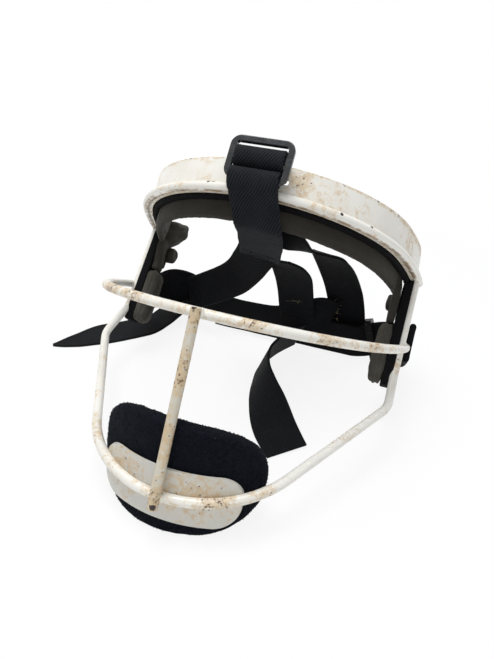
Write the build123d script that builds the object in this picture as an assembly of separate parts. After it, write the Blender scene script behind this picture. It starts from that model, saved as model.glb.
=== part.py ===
import math
import os

from build123d import *

# A fielder's face guard as it stands on a table, in millimetres.
# X runs across the guard, -Y is its front, Z is up, and the table is at Z = 0.
# The steel frame is drawn upright, with the cheek bar level, and then leans forward onto its chin pad.

# How the guard stands
stand_lean = 28.8
stand_lift = 39.7

# Wires
wire_diameter = 5.0
weld_bite = 0.4
wire_end_round = 1.2

# Cheek bar: a level U, with its open ends at Y = 0
bar_reach = 115.2
bar_front_radius = 84.9
bar_front_turn = 62.5
bar_half_width = 94.5
bar_tail = 2.5

# Jaw wire: down each side, forward under the cheek, and round the chin
side_half_width = 91.0
side_lean = 17.5
side_forward = 5.3
side_top = 45.0
knee_drop = 15.0
elbow_forward = 33.6
elbow_drop = 33.4
chin_forward = 117.2
chin_drop = 85.3
chin_radius = 60.4
knee_radius = 14.0
elbow_radius = 18.8

# Centre bar
centre_bar_overhang = 2.4

# Brow: a rim wire and a steel band round the forehead, in a plane that tips back
brow_forward = 85.0
brow_height = 61.7
brow_tip = 11.5
brow_radius = 86.5
brow_turn = 70.5
brow_half_width = 93.3
brow_depth = 103.0
band_thickness = 1.6
band_drop = 1.8
band_rise = 16.8
band_flare = 2.2
band_top_corner = 12.0
band_low_corner = 3.0
strap_slot_length = 28.4
strap_slot_width = 3.4
strap_slot_rise = 7.4
strap_slot_corner = 1.5

# Chin plate
chin_plate_lean = 12.0
chin_plate_thickness = 1.6
chin_plate_half_width = 36.0
chin_plate_below = 13.8
chin_plate_above = 13.0
chin_plate_corner = 11.0

# Side plates, each behind its side wire
side_plate_thickness = 1.6
side_plate_depth = 22.0
side_plate_below = 14.0
side_plate_above = 43.0
side_plate_corner = 5.0
tab_slot_front = 11.6
tab_slot_back = 15.5
tab_slot_corner = 1.2
tab_centre = 6.6

# Gaps
soft_gap = 0.3
loose_gap = 0.8
overrun = 6.0

# Forehead padding
foam_thickness = 4.0
foam_drop = 3.9
foam_rise = 14.0
lining_thickness = 5.6
lining_drop = 14.0
lining_rise = 12.5
lining_end = 83.0
lining_round = 2.0
foam_round = 0.8

# Temple pads
temple_pad_thickness = 11.8
temple_pad_depth = 25.0
temple_pad_height = 18.0
temple_pad_back = 12.0
temple_pad_level = 40.6
temple_pad_inset = 11.4
temple_pad_round = 4.0

# Side padding: foam, lining, ear bump and cheek cushion
side_foam_front = 3.0
side_foam_back = 9.5
side_foam_bottom = 25.5
side_foam_top = 40.0
side_lining_top = 31.4
side_foam_shelf = 20.5
side_foam_shelf_back = 19.5
side_foam_corner = 2.0
side_lining_thickness = 5.0
side_lining_round = 0.9
ear_bump_diameter = 12.0
ear_bump_height = 9.2
ear_bump_back = 12.8
ear_bump_level = 30.6
ear_bump_round = 2.6
cushion_thickness = 8.0
cushion_front = 5.5
cushion_back = 11.0
cushion_bottom = 25.0
cushion_top = 13.0
cushion_corner = 5.0
cushion_round = 3.4
cushion_channel = 1.4
cushion_channel_share = 0.42

# Chin pad
hook_strip_thickness = 1.0
hook_strip_half_width = 28.0
hook_strip_height = 16.0
hook_strip_corner = 3.0
chin_pad_thickness = 11.0
chin_pad_wrap = 50.96
chin_pad_below = 20.5
chin_pad_above = 32.5
chin_pad_round = 2.0
chin_pad_corner = 14.0
chin_pad_end_level_share = 0.22
chin_pad_far_share = 0.2
chin_pad_shoulder_shares = (0.83, 0.72)
chin_pad_foot_shares = (0.82, 0.6)

# Webbing
webbing_width = 25.4
webbing_thickness = 1.6
harness_offset = 4.0

# Buckle: an oblong ring with a cross bar
buckle_width = 32.5
buckle_thickness = 2.6
buckle_rail = 3.2
buckle_top_bar = 3.2
buckle_upper_slot = 5.4
buckle_cross_bar = 3.0
buckle_lower_slot = 7.2
buckle_low_bar = 3.6
buckle_corner = 5.2
buckle_slot_corner = 1.3
buckle_edge = 0.9
buckle_stand_off = 6.7
buckle_rise = 2.0

# Strap tabs through the side plates
tab_reach = 12.5
tab_fold_thickness = 3.6
tab_bar_gap = 0.8

# Strap keeper on the rear strap
keeper_length = 5.0
keeper_wall = 2.2
keeper_place_share = 0.80

# Harness: each strap is a list of places, along X, Y and Z, and the way its width lies there.
# The places are shares of the side's half width, the harness's run and its rise.
# A place that would sink into the table is lifted onto it.
# The top strap's run through the buckle and down the brow keeps to the brow instead:
# its places lie along the brow's own X, Y and Z, as shares of the webbing's width.
harness_run = 100.0
harness_rise = 100.0
strap_steps = 4

brow_run_shares = [
    ((0.158, -0.147, 0.086), (1, 0, 0)),
    ((0.158, -0.145, 0.208), (1, 0, 0)),
    ((0.158, -0.184, 0.268), (1, 0, 0)),
    ((0.158, -0.268, 0.287), (1, 0, 0)),
    ((0.158, -0.352, 0.268), (1, 0, 0)),
    ((0.158, -0.402, 0.200), (1, 0, 0)),
    ((0.158, -0.405, 0.087), (1, 0, 0)),
    ((0.201, -0.342, -0.074), (1, 0, 0)),
    ((0.215, -0.203, -0.189), (1, 0, 0)),
    ((0.244, -0.022, -0.329), (1, -0.02, 0)),
    ((0.301, 0.133, -0.518), (1, -0.05, 0)),
    ((0.322, 0.327, -0.632), (1, -0.05, 0)),
    ((0.279, 0.765, -0.643), (1, -0.10, 0)),
]
top_strap_shares = [
    ((0.048, -0.300, 1.006), (1, -0.10, 0)),
    ((0.009, -0.170, 0.904), (1, -0.10, 0)),
    ((-0.019, -0.080, 0.836), (1, -0.10, 0)),
]
yoke_left_shares = [
    ((-0.025, -0.085, 0.892), (1, -0.10, 0.00)),
    ((-0.073, -0.031, 0.811), (0.93, -0.10, -0.22)),
    ((-0.148, 0.040, 0.699), (0.80, -0.14, -0.48)),
    ((-0.265, 0.140, 0.553), (0.62, -0.30, -0.62)),
    ((-0.426, 0.220, 0.423), (0.48, -0.45, -0.70)),
    ((-0.595, 0.270, 0.317), (0.40, -0.50, -0.72)),
    ((-0.719, 0.295, 0.243), (0.36, -0.52, -0.74)),
]
yoke_right_shares = [
    ((0.086, -0.030, 0.810), (0.98, -0.12, -0.10)),
    ((0.152, 0.030, 0.749), (1, -0.05, -0.05)),
    ((0.171, 0.130, 0.645), (1, 0.05, 0.00)),
    ((0.176, 0.220, 0.514), (1, 0.05, 0.00)),
    ((0.186, 0.270, 0.380), (1, 0.05, 0.02)),
    ((0.205, 0.290, 0.250), (1, 0.03, 0.05)),
]
twisted_strap_shares = [
    ((0.100, -0.130, 1.045), (0.20, -0.20, 0.96)),
    ((0.175, -0.120, 1.015), (0.35, -0.28, 0.89)),
    ((0.240, -0.060, 0.955), (0.78, -0.42, 0.46)),
    ((0.322, 0.060, 0.875), (0.93, -0.37, 0.08)),
    ((0.377, 0.170, 0.797), (0.96, -0.25, 0.05)),
    ((0.431, 0.270, 0.687), (0.99, -0.1, 0.05)),
    ((0.492, 0.350, 0.543), (1, 0, 0.08)),
    ((0.543, 0.390, 0.408), (1, 0, 0.1)),
    ((0.580, 0.405, 0.263), (1, 0, 0.12)),
    ((0.600, 0.400, 0.150), (1, 0, 0.12)),
]
rear_strap_shares = [
    ((-0.955, 0.300, 0.225), (0.00, 0.70, 0.72)),
    ((-0.900, 0.360, 0.245), (0.02, 0.45, 0.90)),
    ((-0.760, 0.400, 0.220), (0.04, 0.12, 1.00)),
    ((-0.600, 0.390, 0.165), (0.00, 0.00, 1.00)),
    ((-0.450, 0.365, 0.000), (0.00, 0.00, 1.00)),
    ((-0.200, 0.345, 0.000), (0.00, 0.00, 1.00)),
    ((0.250, 0.345, 0.000), (0.00, 0.00, 1.00)),
    ((0.640, 0.355, 0.000), (0.00, 0.00, 1.00)),
    ((0.800, 0.370, 0.165), (-0.04, 0.12, 1.00)),
    ((0.910, 0.345, 0.210), (-0.02, 0.45, 0.90)),
    ((0.955, 0.300, 0.225), (0.00, 0.70, 0.72)),
]
overlap_strap_shares = [
    ((-0.500, 0.325, 0.140), (0.00, 0.05, 1.00)),
    ((-0.250, 0.312, 0.150), (0.02, 0.05, 1.00)),
    ((0.050, 0.312, 0.170), (-0.05, 0.10, 1.00)),
    ((0.300, 0.315, 0.250), (-0.20, 0.10, 1.00)),
    ((0.400, 0.318, 0.285), (-0.22, 0.12, 1.00)),
    ((0.475, 0.318, 0.262), (-0.20, 0.12, 1.00)),
]
left_tail_shares = [
    ((-0.800, 0.380, 0.088), (0.78, -0.63, 0)),
    ((-0.855, 0.300, 0.044), (0.70, -0.72, 0)),
    ((-0.920, 0.200, 0.012), (0.64, -0.77, 0)),
    ((-0.990, 0.091, 0.008), (0.6, -0.8, 0)),
    ((-1.133, -0.055, 0.008), (0.58, -0.81, 0)),
    ((-1.267, -0.172, 0.008), (0.56, -0.83, 0)),
    ((-1.368, -0.287, 0.008), (0.54, -0.84, 0), 0.72),
    ((-1.450, -0.371, 0.008), (0.5, -0.86, 0), 0.42),
    ((-1.522, -0.430, 0.008), (0.5, -0.86, 0), 0.1),
]
right_tail_shares = [
    ((0.245, 0.275, 0.130), (0.3, -0.2, 0.92)),
    ((0.141, 0.102, 0.124), (0.3, -0.18, 0.92)),
    ((0.090, -0.089, 0.120), (0.32, -0.13, 0.92)),
    ((0.118, -0.270, 0.120), (0.40, -0.09, 0.90)),
    ((0.172, -0.390, 0.105), (0.60, 0.03, 0.78)),
    ((0.255, -0.505, 0.072), (0.78, 0.22, 0.56)),
    ((0.359, -0.636, 0.032), (0.87, 0.42, 0.22)),
    ((0.479, -0.752, 0.008), (0.88, 0.47, 0.0)),
]

# Worked out from the sizes above
wire_radius = wire_diameter / 2
weld_pitch = wire_diameter - weld_bite
buckle_height = buckle_top_bar + buckle_upper_slot + buckle_cross_bar + buckle_lower_slot + buckle_low_bar
cross_bar_level = buckle_rise + buckle_low_bar + buckle_lower_slot + buckle_cross_bar / 2
tab_pivot_back = (tab_slot_back + side_plate_depth) / 2

standing = Location((0, 0, stand_lift), (-stand_lean, 0, 0))
brow = Plane(
    origin=(0, -brow_forward, brow_height),
    x_dir=(1, 0, 0),
    z_dir=(0, math.sin(math.radians(brow_tip)), math.cos(math.radians(brow_tip))),
)
side = Plane(
    origin=(side_half_width, -side_forward, 0),
    x_dir=(0, math.cos(math.radians(side_lean)), -math.sin(math.radians(side_lean))),
    z_dir=(1, 0, 0),
)
chin = Plane(
    origin=(0, -chin_forward, -chin_drop),
    x_dir=(1, 0, 0),
    z_dir=(0, -math.sin(math.radians(chin_plate_lean)), math.cos(math.radians(chin_plate_lean))),
)


def u_arcs(front, radius, turn, half_width, end, inset=0):
    """Right half of a U in plan: a front arc and a side arc, moved in by the inset."""
    corner_x = radius * math.sin(math.radians(turn))
    corner_y = front + radius * (1 - math.cos(math.radians(turn)))
    run_x, run_y = half_width - corner_x, end - corner_y
    bend = math.degrees(math.atan2(run_y, run_x)) - turn
    side_radius = math.hypot(run_x, run_y) / (2 * math.sin(math.radians(bend)))
    front_arc = JernArc((0, front + inset), (1, 0), radius - inset, turn)
    side_arc = JernArc(front_arc @ 1, front_arc % 1, side_radius - inset, 2 * bend)
    return [front_arc, side_arc]


def whole_u(arcs):
    """Both halves of a U, joined into one line."""
    return Wire([mirror(arc, about=Plane.YZ).edge() for arc in arcs] + [arc.edge() for arc in arcs])


def rod(path, diameter):
    """Round bar along a path."""
    return sweep(Plane(origin=path @ 0, z_dir=path % 0) * Circle(diameter / 2), path=path)


def u_sheet(outer_inset, thickness, low, high, arcs_of):
    """Sheet that stands on a U, from its low level to its high one."""
    outer, inner = arcs_of(outer_inset), arcs_of(outer_inset + thickness)
    cap = Line(outer[1] @ 1, inner[1] @ 1)
    half = [arc.edge() for arc in outer] + [cap.edge()] + [arc.edge() for arc in inner]
    edges = half + [mirror(edge, about=Plane.YZ).edge() for edge in half]
    face = make_face(Wire.combine(edges)[0].edges() if len(Wire.combine(edges)) == 1 else edges)
    return Pos(0, 0, low) * extrude(face, amount=high - low)


def brow_arcs(inset=0):
    return u_arcs(0, brow_radius, brow_turn, brow_half_width, brow_depth, inset)


def brow_trim(low, front_high, back_high, back, low_corner, top_corner):
    """Side view of a brow piece, as a block across the guard."""
    outline = Polyline(
        (-overrun, low), (back, low), (back, back_high), (-overrun, front_high), close=True
    )
    face = make_face(outline)
    rear = face.vertices().sort_by(Axis.X)[-2:]
    face = fillet(rear.sort_by(Axis.Y)[0], low_corner)
    face = fillet(face.vertices().group_by(Axis.X)[-1].sort_by(Axis.Y)[-1:], top_corner)
    block = extrude(Plane.YZ * face, amount=brow_half_width + overrun, both=True)
    return block


def build_rim_wire():
    return brow * rod(whole_u(brow_arcs()), wire_diameter)


def band_top(back):
    return band_rise + back * math.tan(math.radians(band_flare))


def build_forehead_band(rim):
    inset = wire_radius - weld_bite / 2
    sheet = u_sheet(inset, band_thickness, -band_drop, band_top(brow_depth) + overrun, brow_arcs)
    sheet = sheet & brow_trim(
        -band_drop, band_top(0), band_top(brow_depth), brow_depth, band_low_corner, band_top_corner
    )
    slot = extrude(
        Plane.XZ
        * Pos(harness_offset, strap_slot_rise + strap_slot_width / 2)
        * RectangleRounded(strap_slot_length, strap_slot_width, strap_slot_corner),
        amount=wire_diameter + band_thickness + overrun,
        both=True,
    )
    return brow * (sheet - slot) - rim


def build_cheek_bar(welded):
    path = whole_u(u_arcs(-bar_reach, bar_front_radius, bar_front_turn, bar_half_width, bar_tail))
    bar = rod(path, wire_diameter)
    ends = bar.edges().filter_by(GeomType.CIRCLE).group_by(Axis.Y)[-1]
    bar = fillet(ends, wire_end_round)
    for piece in welded:
        bar = bar - piece
    return bar


def side_point(back, up, out=0):
    """A place given behind and above the side wire's level, as the side plane lies."""
    return side.from_local_coords(Vector(back, up, out))


def jaw_points():
    lean = math.tan(math.radians(side_lean))
    top = (side_half_width, side_top * lean - side_forward, side_top)
    knee = (side_half_width, -side_forward - knee_drop * lean, -knee_drop)
    elbow = (side_half_width, -elbow_forward, -elbow_drop)
    return [top, knee, elbow]


def chin_corner(elbow):
    """Where the two straight runs of the jaw would meet, so that the chin arc has its radius."""
    back, drop = chin_forward - elbow_forward, chin_drop - elbow_drop
    depth = math.hypot(back, drop)
    half = side_half_width
    # The runs make an angle whose arc of the chin radius is tangent and reaches the chin's depth.
    a = half * half
    b = depth - chin_radius
    slope = (b * half + chin_radius * math.sqrt(a + b * b - chin_radius**2)) / (a - chin_radius**2)
    apex = half * slope
    return (0, -elbow_forward - back / depth * apex, -elbow_drop - drop / depth * apex)


def build_jaw_wire():
    right = jaw_points()
    left = [(-x, y, z) for x, y, z in right]
    path = FilletPolyline(
        *left, chin_corner(right[2]), *right[::-1],
        radius=[knee_radius, elbow_radius, chin_radius, elbow_radius, knee_radius],
    )
    return rod(path, wire_diameter)


def centre_post(diameter):
    top = Vector(0, -bar_reach - weld_pitch, wire_radius)
    low = Vector(0, -chin_forward - weld_pitch, -chin_drop - wire_radius - centre_bar_overhang)
    return rod(Line(top, low), diameter)


def build_centre_bar(bar, jaw):
    post = centre_post(wire_diameter)
    return fillet(post.edges().filter_by(GeomType.CIRCLE), wire_end_round / 2) - bar - jaw


def chin_curve():
    """Radius of a plate that follows the chin wire, seen along the plate's own lean."""
    back, drop = chin_forward - elbow_forward, chin_drop - elbow_drop
    loop_slope = math.degrees(math.atan2(drop, back))
    squeeze = math.cos(math.radians(loop_slope - chin_plate_lean))
    half = chin_plate_half_width
    sag = (chin_radius - math.sqrt(chin_radius**2 - half**2)) * squeeze
    return (half**2 + sag**2) / (2 * sag)


def chin_shell(outer_radius, thickness, outline):
    """Curved piece behind the chin wire, cut to an outline seen from the front."""
    centre_y = chin_curve()
    span = chin_pad_above + chin_pad_below + overrun
    ring = Cylinder(outer_radius, 2 * span) - Cylinder(outer_radius - thickness, 2 * span + overrun)
    prism = extrude(Plane.XZ * outline, amount=centre_y, both=True)
    return chin * ((Pos(0, centre_y, 0) * ring) & prism)


def build_chin_plate(jaw):
    height = chin_plate_above + chin_plate_below
    outline = Pos(0, (chin_plate_above - chin_plate_below) / 2) * RectangleRounded(
        2 * chin_plate_half_width, height, chin_plate_corner
    )
    outer = chin_curve() - wire_radius + weld_bite / 2
    shell = chin_shell(outer, chin_plate_thickness, outline)
    return shell - jaw


def side_solid(face, out, thickness):
    """Flat piece of a side, drawn behind and above the wire, from its outer face inwards."""
    return side * (Pos(0, 0, out - thickness) * extrude(face, amount=thickness))


def box_outline(front, back, bottom, top, corner):
    face = make_face(
        Polyline((-front, -bottom), (back, -bottom), (back, top), (-front, top), close=True)
    )
    return fillet(face.vertices(), corner)


def build_side_plate(jaw, rim, band):
    face = box_outline(0, side_plate_depth, side_plate_below, side_plate_above, side_plate_corner)
    slot_height = webbing_width + 2 * loose_gap
    slot = Pos((tab_slot_front + tab_slot_back) / 2, tab_centre) * RectangleRounded(
        tab_slot_back - tab_slot_front, slot_height, tab_slot_corner
    )
    plate = side_solid(face - slot, side_plate_thickness / 2, side_plate_thickness)
    plate = plate - jaw - rim - band
    return plate.solids().sort_by(SortBy.VOLUME)[-1]


def build_forehead_foam(loop):
    start = wire_radius - weld_bite / 2 + band_thickness + soft_gap
    foam = u_sheet(start, foam_thickness, -foam_drop, foam_rise, brow_arcs)
    foam = fillet(foam.edges().filter_by(Axis.Z), foam_round)
    room = Box(
        webbing_width + 2 * loose_gap, 4 * overrun, 2 * foam_rise,
        align=(Align.CENTER, Align.CENTER, Align.MIN),
    )
    return brow * (foam - Pos(harness_offset, 0, loop - loose_gap) * room)


def lining_start():
    return wire_radius - weld_bite / 2 + band_thickness + foam_thickness + 2 * soft_gap


def build_forehead_lining():
    lining = u_sheet(lining_start(), lining_thickness, -lining_drop, lining_rise, brow_arcs)
    behind = Box(
        2 * brow_half_width, brow_depth, brow_depth, align=(Align.CENTER, Align.MIN, Align.CENTER)
    )
    lining = lining - Pos(0, lining_end, 0) * behind
    level = lining.edges().filter_by(Axis.Z, reverse=True)
    return brow * fillet(level, lining_round)


def build_temple_pad():
    reach = brow_half_width - temple_pad_inset
    pad = Box(temple_pad_thickness, temple_pad_depth, temple_pad_height)
    pad = fillet(pad.edges(), temple_pad_round)
    return Pos(reach - temple_pad_thickness / 2, temple_pad_back, temple_pad_level) * pad


def build_side_foam():
    outline = make_face(
        Polyline(
            (-side_foam_front, -side_foam_bottom),
            (side_foam_back, -side_foam_bottom),
            (side_foam_back, side_foam_shelf),
            (side_foam_shelf_back, side_foam_shelf),
            (side_foam_shelf_back, side_foam_top),
            (-side_foam_front, side_foam_top),
            close=True,
        )
    )
    outline = fillet(outline.vertices(), side_foam_corner)
    return side_solid(outline, -wire_radius - soft_gap, foam_thickness)


def side_lining_face():
    return -wire_radius - 2 * soft_gap - foam_thickness


def build_side_lining():
    outline = box_outline(
        side_foam_front - soft_gap, ear_bump_back - ear_bump_diameter / 2 - soft_gap,
        -cushion_top - soft_gap, side_lining_top, side_foam_corner,
    )
    pad = side_solid(outline, side_lining_face(), side_lining_thickness)
    inner = pad.faces().sort_by(Axis.X)[0]
    return fillet(inner.edges(), side_lining_round)


def build_ear_bump():
    disc = Pos(ear_bump_back, ear_bump_level) * Circle(ear_bump_diameter / 2)
    bump = side_solid(disc, side_lining_face(), ear_bump_height)
    return fillet(bump.faces().sort_by(Axis.X)[0].edges(), ear_bump_round)


def build_cheek_cushion():
    outline = box_outline(
        cushion_front, cushion_back, cushion_bottom, cushion_top, cushion_corner
    )
    pad = side_solid(outline, side_lining_face(), cushion_thickness)
    pad = fillet(pad.faces().sort_by(Axis.X)[0].edges(), cushion_round)
    along = -cushion_front + (cushion_front + cushion_back) * cushion_channel_share
    groove = Cylinder(cushion_channel, cushion_bottom + cushion_top + overrun, rotation=(90, 0, 0))
    level = (cushion_top - cushion_bottom) / 2
    face = side_lining_face() - cushion_thickness
    return pad - side * (Pos(along, level, face) * groove)


def build_chin_hook_strip():
    outline = RectangleRounded(2 * hook_strip_half_width, hook_strip_height, hook_strip_corner)
    outer = chin_curve() - wire_radius + weld_bite / 2 - chin_plate_thickness
    return chin_shell(outer, hook_strip_thickness, outline)


def spread(across, radius):
    """Where a place on the pad's curve lands when it is thrown straight out onto the front."""
    return chin_curve() * across / math.sqrt(radius**2 - across**2)


def build_chin_pad():
    outer = (
        chin_curve() - wire_radius + weld_bite / 2 - chin_plate_thickness - hook_strip_thickness
    )
    half = outer * math.sin(math.radians(chin_pad_wrap))
    top, low = chin_pad_above, chin_pad_below
    end = (spread(half, outer), chin_pad_above * chin_pad_end_level_share)
    shoulder = (
        spread(half * chin_pad_shoulder_shares[0], outer), top * chin_pad_shoulder_shares[1]
    )
    foot = (spread(half * chin_pad_foot_shares[0], outer), -low * chin_pad_foot_shares[1])
    outline = make_face(
        [
            ThreePointArc((-shoulder[0], shoulder[1]), (0, top), shoulder),
            ThreePointArc(shoulder, end, foot),
            ThreePointArc(foot, (0, -low), (-foot[0], foot[1])),
            ThreePointArc((-foot[0], foot[1]), (-end[0], end[1]), (-shoulder[0], shoulder[1])),
        ]
    )
    outline = fillet(outline.vertices(), chin_pad_corner)
    narrow = scale(outline, by=(chin_pad_far_share, 1, 1))
    centre_y = chin_curve()
    prism = loft([
        Plane.XZ * outline,
        Plane.XZ.offset(-centre_y * (1 - chin_pad_far_share)) * narrow,
    ])
    ring = Cylinder(outer, 4 * top) - Cylinder(outer - chin_pad_thickness, 4 * top)
    pad = (Pos(0, centre_y, 0) * ring) & prism
    return chin * fillet(pad.edges(), chin_pad_round) - centre_post(wire_diameter + 2 * soft_gap)


def build_buckle():
    frame = RectangleRounded(buckle_width, buckle_height, buckle_corner)
    slot_width = buckle_width - 2 * buckle_rail
    levels = [
        (buckle_height / 2 - buckle_top_bar - buckle_upper_slot / 2, buckle_upper_slot),
        (-buckle_height / 2 + buckle_low_bar + buckle_lower_slot / 2, buckle_lower_slot),
    ]
    for level, height in levels:
        frame -= Pos(0, level) * RectangleRounded(slot_width, height, buckle_slot_corner)
    ring = extrude(Plane.XZ * frame, amount=buckle_thickness / 2, both=True)
    ring = fillet(ring.edges().filter_by(GeomType.CIRCLE, reverse=True), buckle_edge / 2)
    return brow * Pos(harness_offset, -buckle_stand_off, buckle_rise + buckle_height / 2) * ring


def loop_levels():
    """Lowest and highest run of the buckle's webbing loop, front and back."""
    low = strap_slot_rise + strap_slot_width / 2 - webbing_thickness / 2
    high = max(band_top(0), cross_bar_level + buckle_cross_bar / 2) + 2 * loose_gap
    front = buckle_stand_off + buckle_thickness / 2 + loose_gap / 2
    reach = harness_offset + webbing_width / 2
    inside = brow_radius - wire_radius + weld_bite / 2 - band_thickness
    back = brow_radius - math.sqrt(inside**2 - reach**2) + soft_gap
    return low, high, front, back


def build_buckle_loop():
    low, high, front, back = loop_levels()
    inside = (front + back, high - low - webbing_thickness)
    hole = RectangleRounded(*inside, webbing_thickness)
    outer = RectangleRounded(
        inside[0] + 2 * webbing_thickness, inside[1] + 2 * webbing_thickness, 2 * webbing_thickness
    )
    centre = Pos((back - front) / 2, low + webbing_thickness + inside[1] / 2)
    ring = extrude(Plane.YZ * centre * (outer - hole), amount=webbing_width / 2, both=True)
    return brow * Pos(harness_offset, 0, 0) * ring


def build_strap_tab():
    """Folded strap end that hangs on the rear bar of a side plate's slot."""
    gap = side_plate_thickness / 2 + tab_bar_gap
    nose = tab_slot_back + loose_gap / 8
    back = side_plate_depth + 2 * loose_gap
    inner, outer = gap + webbing_thickness, gap + tab_fold_thickness
    ring = make_face(
        [
            ThreePointArc((nose, outer), (nose - gap - webbing_thickness, 0), (nose, -inner)),
            Line((nose, -inner), (back, -inner)),
            Line((back, -inner), (tab_pivot_back + tab_reach, -webbing_thickness)),
            Line(
                (tab_pivot_back + tab_reach, -webbing_thickness),
                (tab_pivot_back + tab_reach, webbing_thickness),
            ),
            Line((tab_pivot_back + tab_reach, webbing_thickness), (back, outer)),
            Line((back, outer), (nose, outer)),
        ]
    )
    hole = make_face(
        [
            ThreePointArc((nose, gap), (nose - gap, 0), (nose, -gap)),
            Line((nose, -gap), (back, -gap)),
            Line((back, -gap), (back, gap)),
            Line((back, gap), (nose, gap)),
        ]
    )
    profile = Plane(origin=side_point(0, tab_centre), x_dir=side.x_dir, z_dir=-side.y_dir)
    return extrude(profile * (ring - hole), amount=webbing_width / 2, both=True)


def strap_stations(shares):
    """Centre and width direction of a strap at each listed place."""
    stations = []
    for (across, along, up), lie, *narrowing in shares:
        width = Vector(*lie).normalized() * (narrowing[0] if narrowing else 1)
        edge = abs(width.Z) * webbing_width / 2
        flat = math.hypot(width.X, width.Y) / width.length * webbing_thickness / 2
        height = max(up * harness_rise, edge + flat)
        stations.append((Vector(across * side_half_width, along * harness_run, height), width))
    return stations


def brow_stations(shares):
    """Centre and width direction of the strap at each place that keeps to the brow."""
    frame = Plane(standing * brow.location)
    return [
        (frame.from_local_coords(Vector(*place) * webbing_width), Vector(*lie).normalized())
        for place, lie in shares
    ]


def smooth(values, steps):
    """Points on a smooth line through the values, with so many steps from each to the next."""
    line = []
    for i in range(len(values) - 1):
        before, start = values[max(i - 1, 0)], values[i]
        end, after = values[i + 1], values[min(i + 2, len(values) - 1)]
        for step in range(steps):
            t = step / steps
            line.append(
                start
                + (end - before) * (t / 2)
                + (before * 2 - start * 5 + end * 4 - after) * (t * t / 2)
                + (start * 3 - before - end * 3 + after) * (t**3 / 2)
            )
    return line + [values[-1]]


def build_strap(stations):
    """Flat webbing lofted through its places."""
    centres = smooth([centre for centre, _ in stations], strap_steps)
    widths = smooth([width for _, width in stations], strap_steps)
    spans = smooth([width.length for _, width in stations], strap_steps)
    sections = []
    for i, (centre, width, span) in enumerate(zip(centres, widths, spans)):
        travel = centres[min(i + 1, len(centres) - 1)] - centres[max(i - 1, 0)]
        across = width - travel * (width.dot(travel) / travel.dot(travel))
        plane = Plane(origin=centre, x_dir=across, z_dir=travel)
        depth = abs(plane.x_dir.Z) * webbing_width * span + abs(plane.y_dir.Z) * webbing_thickness
        plane.origin = centre + Vector(0, 0, max(depth / 2 - centre.Z, 0))
        sections.append(plane * Rectangle(webbing_width * span, webbing_thickness))
    return loft(sections, ruled=True)


def build_keeper():
    """Plastic ring round the rear strap, near its right end."""
    stations = strap_stations(rear_strap_shares)
    line = smooth([centre for centre, _ in stations], strap_steps)
    lies = smooth([width for _, width in stations], strap_steps)
    at = round(keeper_place_share * (len(line) - 1))
    ring = RectangleRounded(
        webbing_width + 4 * soft_gap + 2 * keeper_wall,
        2 * webbing_thickness + 4 * soft_gap + 2 * keeper_wall, keeper_wall,
    ) - Rectangle(webbing_width + 4 * soft_gap, 2 * webbing_thickness + 4 * soft_gap)
    plane = Plane(origin=line[at], x_dir=lies[at], z_dir=line[at + 1] - line[at - 1])
    return extrude(plane * ring, amount=keeper_length / 2, both=True)


def resting(shape):
    """Cut a soft piece flat where it rests on the table."""
    reach = 2 * (chin_radius + chin_forward)
    return shape - Box(reach, reach, reach, align=(Align.CENTER, Align.CENTER, Align.MAX))


def pair(name, shape):
    """A piece of the right side, and the same piece turned for the left."""
    return {f"{name}_right": shape, f"{name}_left": mirror(shape, about=Plane.YZ)}


def build_all():
    rim = build_rim_wire()
    jaw_whole = build_jaw_wire()
    band = build_forehead_band(rim)
    jaw = jaw_whole - rim - band
    jaw = jaw.solids().sort_by(SortBy.VOLUME)[-1]
    plates = pair("side_plate", build_side_plate(jaw_whole, rim, band))
    bar = build_cheek_bar([jaw, *plates.values()])
    upright = {
        "rim_wire": rim,
        "forehead_band": band,
        "jaw_wire": jaw,
        "cheek_bar": bar,
        "centre_bar": build_centre_bar(bar, jaw),
        "chin_plate": build_chin_plate(jaw),
        "forehead_foam": build_forehead_foam(loop_levels()[0]),
        "forehead_lining": build_forehead_lining(),
        "chin_hook_strip": build_chin_hook_strip(),
        "chin_pad": build_chin_pad(),
        "top_buckle": build_buckle(),
        "buckle_loop": build_buckle_loop(),
    }
    upright |= plates
    upright |= pair("side_foam", build_side_foam())
    upright |= pair("side_lining", build_side_lining())
    upright |= pair("ear_bump", build_ear_bump())
    upright |= pair("cheek_cushion", build_cheek_cushion())
    upright |= pair("temple_pad", build_temple_pad())
    upright |= pair("strap_tab", build_strap_tab())
    parts = {name: standing * shape for name, shape in upright.items()}
    parts["chin_pad"] = resting(parts["chin_pad"])
    straps = {
        "top_strap": top_strap_shares,
        "yoke_left": yoke_left_shares,
        "yoke_right": yoke_right_shares,
        "twisted_strap": twisted_strap_shares,
        "rear_strap": rear_strap_shares,
        "overlap_strap": overlap_strap_shares,
        "left_tail": left_tail_shares,
        "right_tail": right_tail_shares,
    }
    for name, shares in straps.items():
        start = brow_stations(brow_run_shares) if name == "top_strap" else []
        parts[name] = build_strap(start + strap_stations(shares))
    parts["strap_keeper"] = build_keeper()
    return parts


os.makedirs("parts", exist_ok=True)
for node, shape in build_all().items():
    export_step(shape, f"parts/{node}.step")
    print(node, round(shape.volume))
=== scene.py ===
import math
import random

import bmesh
import bpy
from mathutils import Matrix, Vector, noise


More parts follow.
